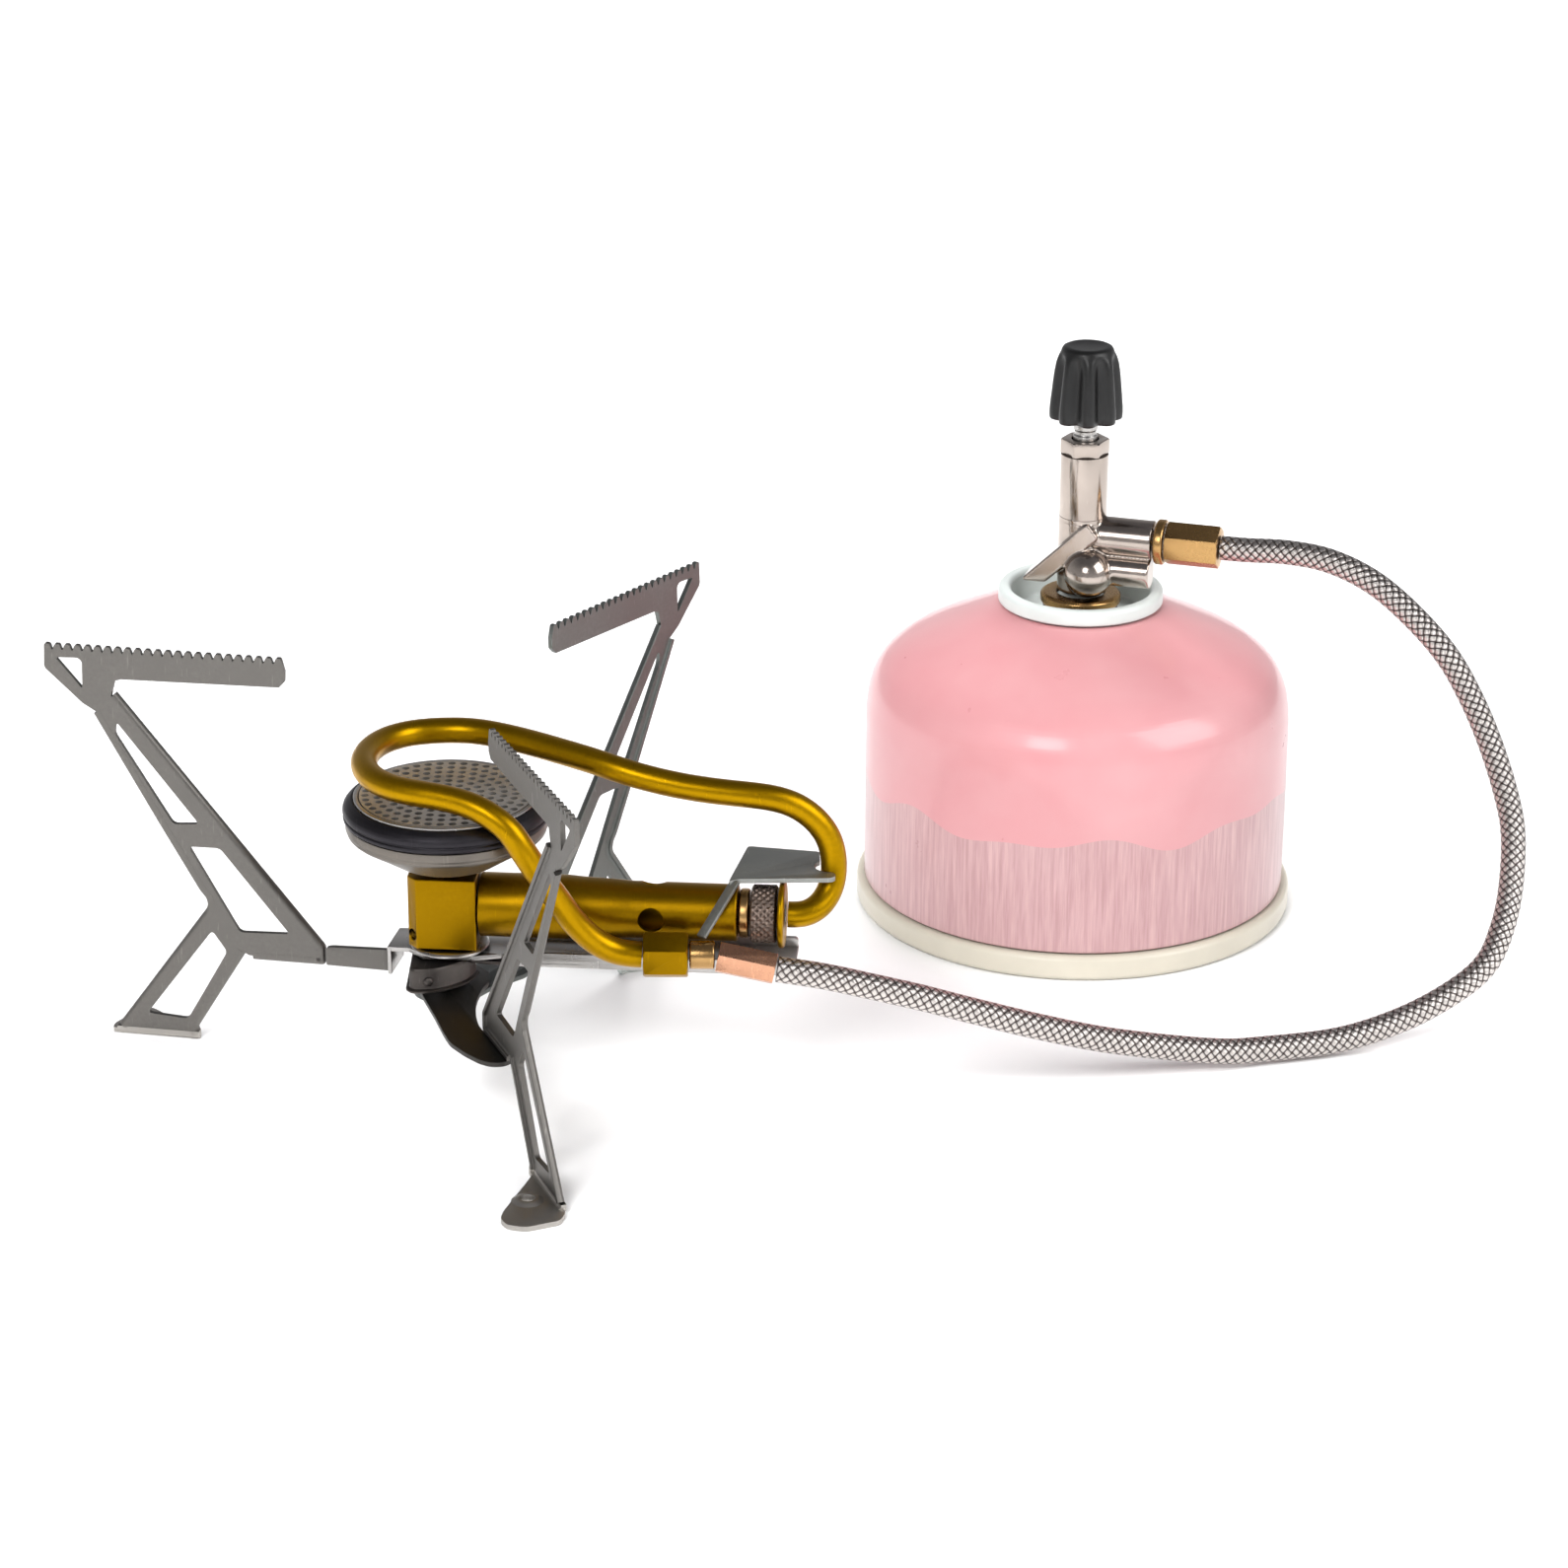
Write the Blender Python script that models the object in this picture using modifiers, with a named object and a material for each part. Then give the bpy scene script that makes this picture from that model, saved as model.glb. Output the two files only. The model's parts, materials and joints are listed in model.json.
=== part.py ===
"""Hose-fed canister stove with three folding legs, a preheat loop and a screw-on gas canister.

Metres, +Z up.  The stove's hub axis and the canister's axis are both vertical.
All shape numbers below are millimetres and are turned into metres by MM.
"""
import math

import bmesh
import bpy
from mathutils import Matrix, Vector

MM = 0.001

# ---------------------------------------------------------------- driving dimensions
OBJECT = "canister_stove"
STOVE_X = -46.09           # hub axis in the object's frame
STOVE_Y = -27.66
CANISTER_DX = 123.6        # canister axis measured from the hub axis
CANISTER_DY = 82.9

LEG_LEFT = 170.0           # azimuths of the three legs, degrees
LEG_FRONT = -68.2
LEG_BACK = 54.2
SHEET_BACK = -1.3          # leg plate faces, measured sideways from the hub radius
SHEET_FRONT = -0.3
FLANGE_BACK = -1.9
CREST_Z = 80.2
TEETH = 24
BAR_INNER_R = 30.6
BAR_OUTER_R = 77.6

TUBE_YAW = -4.5            # mixing tube direction
TUBE_Z = 33.3
VALVE_YAW = -17.0          # valve outlet direction
OUTLET_Z = 79.2
HOSE_D = 5.0
PREHEAT_R = 2.5


def clear_scene():
    for item in list(bpy.data.objects):
        bpy.data.objects.remove(item, do_unlink=True)
    for block in list(bpy.data.collections):
        bpy.data.collections.remove(block)


clear_scene()
PARTS = bpy.data.collections.new(OBJECT)
CUTTERS = bpy.data.collections.new("cutters")
bpy.context.scene.collection.children.link(PARTS)
bpy.context.scene.collection.children.link(CUTTERS)


def material(name, colour, rough, metal):
    found = bpy.data.materials.get(name)
    if found:
        return found
    made = bpy.data.materials.new(name)
    made.use_nodes = True
    shader = made.node_tree.nodes["Principled BSDF"]
    shader.inputs["Base Color"].default_value = (*colour, 1.0)
    shader.inputs["Roughness"].default_value = rough
    shader.inputs["Metallic"].default_value = metal
    made.diffuse_color = (*colour, 1.0)
    return made


STEEL = material("leg_steel", (0.33, 0.31, 0.29), 0.42, 1.0)
HUB_STEEL = material("hub_steel", (0.20, 0.19, 0.19), 0.38, 1.0)
BRIGHT = material("bright_steel", (0.62, 0.61, 0.59), 0.25, 1.0)
BURNER = material("burner_steel", (0.45, 0.44, 0.43), 0.38, 1.0)
BAND = material("burner_band", (0.12, 0.12, 0.13), 0.45, 1.0)
BRASS = material("brass", (0.52, 0.36, 0.04), 0.30, 1.0)
NUT_BRASS = material("nut_brass", (0.68, 0.45, 0.20), 0.28, 1.0)
COPPER = material("copper", (0.78, 0.50, 0.40), 0.30, 1.0)
CHROME = material("valve_nickel", (0.66, 0.64, 0.62), 0.14, 1.0)
KNOB = material("knob_black", (0.03, 0.03, 0.03), 0.5, 0.0)
RUBBER = material("seal_rubber", (0.02, 0.02, 0.02), 0.8, 0.0)
BRAID = material("hose_braid", (0.42, 0.40, 0.39), 0.4, 1.0)
PINK = material("canister_paint", (0.90, 0.46, 0.48), 0.35, 0.0)
IVORY = material("canister_rim", (0.80, 0.77, 0.68), 0.35, 0.3)
CUP = material("mounting_cup", (0.72, 0.75, 0.74), 0.3, 0.6)


def empty(name, x, y, z=0.0, yaw=0.0, parent=None):
    made = bpy.data.objects.new(name, None)
    made.empty_display_size = 0.01
    PARTS.objects.link(made)
    made.parent = parent
    made.location = (x * MM, y * MM, z * MM)
    made.rotation_euler = (0.0, 0.0, math.radians(yaw))
    return made


def add(name, mesh, mat, parent=None, where=(0, 0, 0), turn=(0, 0, 0), smooth=35.0, coll=None):
    made = bpy.data.objects.new(name, mesh)
    (coll or PARTS).objects.link(made)
    made.parent = parent
    made.location = Vector(where) * MM
    made.rotation_euler = [math.radians(v) for v in turn]
    if mat:
        mesh.materials.append(mat)
    if smooth:
        mesh.shade_smooth()
        mesh.set_sharp_from_angle(angle=math.radians(smooth))
    return made


def hide_cutter(item):
    item.hide_render = True
    item.display_type = "WIRE"
    for coll in list(item.users_collection):
        coll.objects.unlink(item)
    CUTTERS.objects.link(item)
    return item


def lathe_mesh(name, profile, closed):
    mesh = bpy.data.meshes.new(name)
    bm = bmesh.new()
    verts = [bm.verts.new((r * MM, 0.0, z * MM)) for r, z in profile]
    for one, two in zip(verts, verts[1:]):
        bm.edges.new((one, two))
    if closed:
        bm.edges.new((verts[-1], verts[0]))
    bm.to_mesh(mesh)
    bm.free()
    return mesh


def lathe(name, profile, mat, steps=32, closed=False, **place):
    """A turned part: profile of (radius, z), run so that the outer side goes from top to bottom."""
    area = sum(a[0] * b[1] - b[0] * a[1] for a, b in zip(profile, profile[1:] + profile[:1]))
    if area > 0:
        profile = profile[::-1]
    made = add(name, lathe_mesh(name, profile, closed), mat, smooth=None, **place)
    screw = made.modifiers.new("turn", "SCREW")
    screw.axis = "Z"
    screw.steps = steps
    screw.render_steps = steps
    screw.use_merge_vertices = True
    screw.merge_threshold = 0.00001
    screw.use_smooth_shade = True
    return made


def box_mesh(name, x0, x1, y0, y1, z0, z1):
    mesh = bpy.data.meshes.new(name)
    bm = bmesh.new()
    size = Matrix.Diagonal(((x1 - x0) * MM, (y1 - y0) * MM, (z1 - z0) * MM, 1.0))
    move = Matrix.Translation(Vector(((x0 + x1) / 2, (y0 + y1) / 2, (z0 + z1) / 2)) * MM)
    bmesh.ops.create_cube(bm, size=1.0, matrix=move @ size)
    bm.to_mesh(mesh)
    bm.free()
    return mesh


def rod_mesh(name, radius, length, sides=24, radius2=None, start=0.0):
    """A cylinder or prism along +Z from start."""
    mesh = bpy.data.meshes.new(name)
    bm = bmesh.new()
    bmesh.ops.create_cone(
        bm, cap_ends=True, segments=sides, radius1=radius * MM,
        radius2=(radius if radius2 is None else radius2) * MM, depth=length * MM,
        matrix=Matrix.Translation((0, 0, (start + length / 2) * MM)),
    )
    bm.to_mesh(mesh)
    bm.free()
    return mesh


def bevel(item, width, segments=2, angle=40.0):
    made = item.modifiers.new("edge", "BEVEL")
    made.width = width * MM
    made.segments = segments
    made.limit_method = "ANGLE"
    made.angle_limit = math.radians(angle)
    return made


def cut(item, tool, operation="DIFFERENCE"):
    made = item.modifiers.new("cut_" + tool.name, "BOOLEAN")
    made.operation = operation
    made.object = tool
    made.solver = "EXACT"
    hide_cutter(tool)
    return made


def rounded(points, radius, steps=2):
    """The polygon with each corner replaced by a short arc."""
    done = []
    count = len(points)
    for i, point in enumerate(points):
        here = Vector(point)
        back = Vector(points[i - 1]) - here
        ahead = Vector(points[(i + 1) % count]) - here
        reach = min(radius, 0.45 * back.length, 0.45 * ahead.length)
        one = here + back.normalized() * reach
        two = here + ahead.normalized() * reach
        for k in range(steps + 1):
            t = k / steps
            done.append(tuple(one * (1 - t) ** 2 + here * 2 * t * (1 - t) + two * t ** 2))
    return done


def sheet_mesh(name, outlines, thickness):
    """Flat sheet in XY from closed outlines (first one outside), centred on z = 0."""
    curve = bpy.data.curves.new(name + "_outline", "CURVE")
    curve.dimensions = "2D"
    curve.fill_mode = "BOTH"
    curve.extrude = thickness * MM / 2
    for points in outlines:
        spline = curve.splines.new("POLY")
        spline.points.add(len(points) - 1)
        for slot, (x, y) in zip(spline.points, points):
            slot.co = (x * MM, y * MM, 0.0, 1.0)
        spline.use_cyclic_u = True
    holder = bpy.data.objects.new(name + "_outline", curve)
    bpy.context.scene.collection.objects.link(holder)
    bpy.context.view_layer.update()
    graph = bpy.context.evaluated_depsgraph_get()
    mesh = bpy.data.meshes.new_from_object(holder.evaluated_get(graph))
    mesh.name = name
    mesh.transform(holder.matrix_world)
    bm = bmesh.new()
    bm.from_mesh(mesh)
    bmesh.ops.remove_doubles(bm, verts=bm.verts, dist=0.000002)
    bmesh.ops.recalc_face_normals(bm, faces=bm.faces)
    bm.to_mesh(mesh)
    bm.free()
    bpy.data.objects.remove(holder, do_unlink=True)
    bpy.data.curves.remove(curve)
    return mesh


def upright_sheet(name, outlines, side0, side1):
    """A sheet standing in the XZ plane between two sideways (Y) positions."""
    mesh = sheet_mesh(name, outlines, abs(side1 - side0))
    mesh.transform(Matrix.Rotation(math.radians(90), 4, "X"))
    mesh.transform(Matrix.Translation((0, (side0 + side1) / 2 * MM, 0)))
    return mesh


def flat_sheet(name, outlines, z0, z1):
    mesh = sheet_mesh(name, outlines, abs(z1 - z0))
    mesh.transform(Matrix.Translation((0, 0, (z0 + z1) / 2 * MM)))
    return mesh


def offset_chain(points, distance):
    """Points moved to the left of their travel direction by distance."""
    moved = []
    for i, point in enumerate(points):
        here = Vector(point)
        before = here - Vector(points[i - 1]) if i else None
        after = Vector(points[i + 1]) - here if i + 1 < len(points) else None
        normals = [Vector((-d.y, d.x)).normalized() for d in (before, after) if d is not None]
        mean = sum(normals, Vector((0.0, 0.0))).normalized()
        scale = 1.0 / max(0.5, mean.dot(normals[0]))
        moved.append(tuple(here + mean * distance * scale))
    return moved


def band(points, near, far):
    """A closed ribbon that follows a chain, between two offsets to its left."""
    return offset_chain(points, near) + offset_chain(points, far)[::-1]


def spline_through(points, pieces):
    """Catmull-Rom points through a hand-chosen route."""
    route = [Vector(p) for p in points]
    route = [route[0] * 2 - route[1]] + route + [route[-1] * 2 - route[-2]]
    done = []
    for i in range(1, len(route) - 2):
        a, b, c, d = route[i - 1:i + 3]
        for k in range(pieces):
            t = k / pieces
            done.append(
                0.5 * (2 * b + (c - a) * t + (2 * a - 5 * b + 4 * c - d) * t * t
                       + (3 * b - a - 3 * c + d) * t ** 3)
            )
    done.append(route[-2])
    return done


def tube(name, points, radius, mat, resolution=2, parent=None):
    curve = bpy.data.curves.new(name, "CURVE")
    curve.dimensions = "3D"
    curve.bevel_depth = radius * MM
    curve.bevel_resolution = resolution
    curve.use_fill_caps = True
    spline = curve.splines.new("POLY")
    spline.points.add(len(points) - 1)
    for slot, point in zip(spline.points, points):
        slot.co = (point[0] * MM, point[1] * MM, point[2] * MM, 1.0)
    spline.use_smooth = True
    curve.materials.append(mat)
    made = bpy.data.objects.new(name, curve)
    PARTS.objects.link(made)
    made.parent = parent
    return made


# ---------------------------------------------------------------- frames
STOVE = empty("hub_axis", STOVE_X, STOVE_Y)
TUBE = empty("mixing_tube_axis", 0, 0, TUBE_Z, TUBE_YAW, STOVE)
BURNER_BASE = empty("burner_unit", 0, 0, 0, TUBE_YAW, STOVE)
LEFT = empty("left_leg_frame", 0, 0, 0, LEG_LEFT, STOVE)
FRONT = empty("front_leg_pivot", 0, 0, 0, LEG_FRONT, STOVE)
BACK = empty("back_leg_pivot", 0, 0, 0, LEG_BACK, STOVE)
CAN = empty("canister_axis", STOVE_X + CANISTER_DX, STOVE_Y + CANISTER_DY)
OUTLET = empty("valve_outlet_axis", 0, 0, OUTLET_Z, VALVE_YAW, CAN)
LAID = (0, 90, 0)          # turns a +Z part to lie along +X


# ---------------------------------------------------------------- legs
def tooth_row():
    """Crests of the pot support, from the outer end to the inner end."""
    pitch = (BAR_OUTER_R - BAR_INNER_R) / TEETH
    valley = CREST_Z - 1.15
    row = []
    for k in range(TEETH):
        start = BAR_OUTER_R - k * pitch
        row += [(start - 0.20 * pitch, CREST_Z), (start - 0.64 * pitch, CREST_Z)]
        if k < TEETH - 1:
            row.append((start - 0.92 * pitch, valley))
    return row


DIAGONAL_TOP = (64.4, 71.4)
DIAGONAL_LOW = (25.3, 22.2)
BAR_BOTTOM = 74.4
LOWER_BAR_Z = 17.8
KNEE = (48.0, 28.6)
FOOT_IN = (40.7, 19.2)
FOOT_OUT_R = 67.3
FOOT_IN_R = 50.7


def leg_outline():
    low = [
        (30.6, 77.6), (30.7, 75.6), (31.8, BAR_BOTTOM), (62.6, 73.9), (63.9, 73.5), DIAGONAL_TOP,
        DIAGONAL_LOW, (24.9, 21.4), (24.9, LOWER_BAR_Z), (39.9, LOWER_BAR_Z), (39.9, 18.7),
        FOOT_IN, (51.1, 2.4), (FOOT_IN_R, 1.6), (FOOT_IN_R, 0.1), (FOOT_OUT_R, 0.1),
        (FOOT_OUT_R + 0.2, 0.9), (KNEE[0] + 0.3, KNEE[1] - 0.8), KNEE, (KNEE[0] + 0.2, 29.9),
        (49.4, 31.4), (57.2, 45.4), (64.8, 59.4), (70.4, 68.6), (77.4, 75.2), (77.6, 75.8),
    ]
    return low + tooth_row()


def leg_windows():
    return [
        rounded([(75.3, 77.5), (70.9, 77.7), (70.1, 77.0), (70.3, 71.5)], 0.6, 1),
        rounded([(64.0, 65.3), (48.7, 45.5), (53.8, 45.1), (64.5, 62.9)], 0.8, 1),
        rounded([(51.0, 40.7), (44.8, 40.8), (31.7, 24.0), (41.6, 23.6)], 0.8, 1),
        rounded([(47.1, 23.5), (44.3, 19.3), (52.8, 4.4), (60.9, 5.0)], 0.8, 1),
    ]


INNER_RIM = [
    (63.9, 70.9), DIAGONAL_LOW, (24.9, 21.6), (24.9, LOWER_BAR_Z), (39.2, LOWER_BAR_Z),
]
FOOT_RIM = [FOOT_IN, (51.1, 2.4), (FOOT_IN_R, 1.6), (FOOT_IN_R, 0.5)]
OUTER_RIM = [
    (FOOT_OUT_R - 0.4, 2.2), (KNEE[0] + 0.3, KNEE[1] - 0.8), KNEE, (KNEE[0] + 0.2, 29.9),
    (49.4, 31.4), (57.2, 45.4), (64.8, 59.4), (68.6, 66.4),
]
FOOT_PAD = [
    (51.6, -0.7), (53.6, -2.6), (64.2, -11.2), (66.7, -12.6), (69.4, -12.3),
    (71.5, -9.4), (71.3, -2.8), (68.6, -0.7),
]
LEFT_PAD = [
    (51.6, -0.7), (53.6, -2.6), (61.6, -9.8), (63.4, -11.0), (65.0, -10.6), (66.6, -8.2),
    (68.6, -2.8), (68.4, -0.7),
]


def circle(x, y, radius, sides=12):
    return [
        (x + radius * math.cos(2 * math.pi * k / sides), y + radius * math.sin(2 * math.pi * k / sides))
        for k in range(sides)
    ]


ARM_END = [(39.1, -2.4), (38.4, -0.6), (25.3, -0.6), (25.0, -1.7), (22.2, -1.75), (18.4, -1.0)]
ARM_INNER = [(13.5, 0.5), (10.4, 1.9), (6.5, 4.2), (4.4, 6.2), (0.0, 7.6), (-4.4, 6.2), (-7.0, 3.0)]
ARM_HUB = [(-7.6, 0.0), (-6.6, -3.8), (-3.6, -7.0)]
FRONT_ARM = [
    (3.6, -7.3), (9.5, -7.7), (15.4, -8.1), (22.8, -8.8), (27.3, -9.0), (32.4, -7.8), (36.5, -6.2),
    (38.5, -4.6),
]
BACK_ARM = [
    (3.6, -6.9), (9.8, -7.9), (11.6, -8.4), (15.2, -7.9), (20.1, -6.6), (28.0, -6.2), (36.5, -5.6),
    (38.5, -4.4),
]


def leg(name, frame, pad, tab_z=None, arm_edge=None):
    made = add(name, upright_sheet(name, [leg_outline()] + leg_windows(), SHEET_BACK, SHEET_FRONT),
               STEEL, frame, smooth=30.0)
    joins = [
        upright_sheet(name + "_inner_rim", [band(INNER_RIM, 0.05, 1.0)], FLANGE_BACK, -0.8),
        upright_sheet(name + "_foot_rim", [band(FOOT_RIM, 0.05, 1.0)], FLANGE_BACK, -0.8),
        upright_sheet(name + "_outer_rim", [band(OUTER_RIM, 0.08, 1.0)], FLANGE_BACK + 0.2, -0.75),
        flat_sheet(name + "_pad", [rounded(pad, 0.8, 1), circle(61.8, -5.8, 1.25, 8)], 0.0, 1.0),
    ]
    if tab_z is not None:
        arm = ARM_HUB + arm_edge + ARM_END + ARM_INNER
        holes = [circle(0, 0, 2.35, 20)]
        if arm_edge is BACK_ARM:
            holes.append(circle(15.6, -5.6, 0.85, 9))
        joins.append(box_mesh(name + "_riser", 25.2, 38.3, -1.2, -0.7, tab_z + 0.35, LOWER_BAR_Z + 0.55))
        joins.append(flat_sheet(name + "_arm", [rounded(arm, 1.0, 1)] + holes, tab_z, tab_z + 0.9))
    for mesh in joins:
        tool = add(mesh.name, mesh, None, frame, smooth=None)
        cut(made, tool, "UNION")
    return made


def build_legs():
    leg("left_leg", LEFT, LEFT_PAD)
    leg("front_leg", FRONT, FOOT_PAD, 16.75, FRONT_ARM)
    leg("back_leg", BACK, FOOT_PAD, 15.45, BACK_ARM)
    arm = [(12.1, 18.0), (24.6, 18.2), (24.6, 21.7), (23.6, 22.0), (12.1, 22.3)]
    add("left_leg_arm", upright_sheet("left_leg_arm", [arm], SHEET_BACK, SHEET_FRONT + 0.1),
        STEEL, LEFT, smooth=30.0)


# ---------------------------------------------------------------- hub
CUP_EDGE = [
    (-8.0, 7.6), (-8.0, -7.9), (-6.7, -9.2), (-4.6, -9.2), (-1.8, -8.7), (1.7, -6.5), (4.2, -3.7),
    (5.4, 0.2),
]
CUP_BACK = [(5.4, 4.0), (3.0, 6.8), (-1.0, 8.4), (-6.0, 8.4)]
RAIL_HUB_END = [
    (12.0, 6.2), (4.0, 7.0), (-4.0, 8.0), (-11.0, 7.6), (-11.9, -1.5), (-7.6, -1.6), (-4.6, -4.6),
    (5.4, -4.4), (10.2, -3.0), (12.8, -6.2),
]


def build_hub():
    tray = offset_chain(CUP_EDGE, 0.7) + CUP_BACK
    cup = add("hub_cup", flat_sheet("hub_cup", [tray, circle(0, 0, 2.4, 20)], 22.2, 23.1), HUB_STEEL,
              STOVE, smooth=30.0)
    ear = [(3.4, -3.2), (8.0, -4.2), (11.6, -4.4), (12.4, -3.4), (12.4, 3.0), (3.4, 3.0)]
    joins = [
        flat_sheet("cup_ear", [rounded(ear, 0.8, 1), circle(9.4, -2.3, 0.8, 8)], 22.25, 22.95),
        flat_sheet("cup_skirt", [band(CUP_EDGE, 0.8, 1.6)], 18.7, 22.8),
        flat_sheet("cup_lip", [band(CUP_EDGE, 0.0, 1.2)], 18.4, 19.1),
    ]
    for mesh in joins:
        cut(cup, add(mesh.name, mesh, None, STOVE, smooth=None), "UNION")
    rail_plate = [(66.0, -6.2), (66.0, 6.2)] + RAIL_HUB_END
    rail = add("base_rail", flat_sheet("base_rail", [rail_plate, circle(0, 0, 2.35, 20)], 23.4, 24.3),
               BRIGHT, BURNER_BASE, smooth=30.0)
    fold = [(-11.9, -1.5), (-11.0, 7.6), (-10.2, 7.52), (-11.1, -1.58)]
    cut(rail, add("rail_end", flat_sheet("rail_end", [fold], 18.6, 24.0), None, BURNER_BASE, smooth=None),
        "UNION")
    wall = [(13.0, 23.5), (65.9, 23.5), (65.9, 26.2), (15.4, 26.2), (13.0, 25.2)]
    for side, low, high in (("front", -6.18, -5.4), ("back", 5.4, 6.18)):
        tool = add("rail_wall_" + side, upright_sheet("rail_wall_" + side, [wall], low, high), None,
                   BURNER_BASE, smooth=None)
        cut(rail, tool, "UNION")
    lathe("hub_washer", [(2.4, 25.6), (7.0, 25.6), (7.5, 25.2), (7.5, 24.9), (7.2, 24.6), (2.4, 24.6)],
          BRIGHT, 24, closed=True, parent=STOVE)
    lathe("pivot_bolt",
          [(0, 25.5), (2.0, 25.5), (2.0, 15.1), (4.4, 15.1), (4.4, 14.6), (3.6, 13.9), (0, 13.8)],
          HUB_STEEL, 24, parent=STOVE)
    lathe("pivot_spacer", [(2.35, 21.9), (3.0, 21.9), (3.0, 17.95), (2.35, 17.95)],
          HUB_STEEL, 24, closed=True, parent=STOVE)


# ---------------------------------------------------------------- burner
def build_burner():
    body = [(-5.4, -5.7), (5.9, -5.7), (5.9, 5.7), (-5.4, 5.7), (-7.3, 3.7), (-7.3, -3.7)]
    block = add("burner_block", flat_sheet("burner_block", [body], 25.9, 40.2), BRASS, BURNER_BASE, smooth=30.0)
    screw_at = Matrix.Translation((-6.35 * MM, -4.7 * MM, 28.4 * MM)) @ Matrix.Rotation(
        math.radians(-133.5), 4, "Z") @ Matrix.Rotation(math.radians(90), 4, "Y")
    hole_mesh = rod_mesh("screw_hole", 0.95, 5.0, 16, start=-2.4)
    hole_mesh.transform(screw_at)
    hole = add("screw_hole", hole_mesh, None, BURNER_BASE, smooth=None)
    cut(block, hole)
    bevel(block, 0.25, 1)
    screw_mesh = rod_mesh("block_set_screw", 0.62, 1.4, 12, start=-1.9)
    screw_mesh.transform(screw_at)
    add("block_set_screw", screw_mesh, HUB_STEEL, BURNER_BASE)
    lathe("burner_neck",
          [(0, 43.6), (3.0, 43.6), (3.0, 40.95 + 0.5), (4.7, 41.1), (5.0, 40.9), (5.0, 40.5), (0, 40.5)],
          BRASS, 24, parent=STOVE)
    lathe("burner_bowl",
          [(3.35, 41.75), (3.35, 41.45), (6.6, 41.45), (10.2, 42.8), (14.4, 45.6), (18.5, 48.1), (19.1, 48.8),
           (19.1, 50.9), (17.0, 50.9), (17.0, 48.7), (13.8, 46.5), (9.7, 43.9), (6.2, 42.5), (3.35, 42.5)],
          BURNER, 28, closed=True, parent=STOVE)
    lathe("burner_band",
          [(17.7, 55.1), (18.1, 55.1), (19.3, 54.0), (19.5, 53.5), (19.5, 51.6), (19.2, 51.2), (17.7, 51.2)],
          BAND, 32, closed=True, parent=STOVE)
    lathe("burner_rim",
          [(16.7, 55.5), (17.4, 55.5), (17.4, 51.2), (16.0, 51.2), (16.0, 54.2), (16.7, 54.2)],
          BRIGHT, 32, closed=True, parent=STOVE)
    outlines = [circle(0, 0, 16.35, 36)]
    outlines.append(circle(0, 0, 0.6, 4))
    for ring in range(1, 4):
        radius = ring * 4.4
        for k in range(6 * ring):
            angle = 2 * math.pi * (k + 0.5 * (ring % 2)) / (6 * ring)
            outlines.append(circle(radius * math.cos(angle), radius * math.sin(angle), 0.6, 4))
    add("flame_plate", flat_sheet("flame_plate", outlines, 54.5, 55.6), BURNER, STOVE, smooth=30.0)


def build_mixing_tube():
    tube_body = lathe(
        "mixing_tube",
        [(4.5, 55.0), (5.15, 55.0), (5.4, 54.7), (5.4, 35.0), (5.55, 33.0), (5.9, 25.0), (6.1, 22.5),
         (6.1, 6.2), (4.5, 6.2)],
        BRASS, 28, closed=True, parent=TUBE, turn=LAID,
    )
    front_mesh = rod_mesh("front_air_hole", 2.45, 14, 24)
    front_mesh.transform(Matrix.Translation((38.9 * MM, 0, 0)) @ Matrix.Rotation(math.radians(90), 4, "X"))
    cut(tube_body, add("front_air_hole", front_mesh, None, TUBE, smooth=None))
    top_mesh = rod_mesh("top_air_hole", 2.45, 14, 24)
    top_mesh.transform(Matrix.Translation((38.9 * MM, 0, 0)) @ Matrix.Rotation(math.radians(-20), 4, "X"))
    cut(tube_body, add("top_air_hole", top_mesh, None, TUBE, smooth=None))
    lathe("gas_jet",
          [(0, 63.9), (1.55, 63.9), (1.55, 57.2), (4.4, 57.2), (4.7, 56.9), (4.7, 55.6), (4.4, 55.3), (2.4, 55.3),
           (2.4, 54.0), (1.2, 51.4), (0, 51.4)],
          NUT_BRASS, 24, parent=TUBE, turn=LAID)
    nut_loop = [(1.85, 62.4), (5.2, 62.4), (5.55, 62.1), (5.55, 57.9), (5.2, 57.5), (1.85, 57.5)]
    lathe("jet_nut", nut_loop, BRIGHT, 24, closed=True, parent=TUBE, turn=LAID)
    lathe("jet_flange",
          [(1.85, 63.9), (5.9, 63.9), (6.4, 63.6), (6.4, 63.0), (6.1, 62.7), (1.85, 62.7)],
          BRASS, 24, closed=True, parent=TUBE, turn=LAID)


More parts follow.
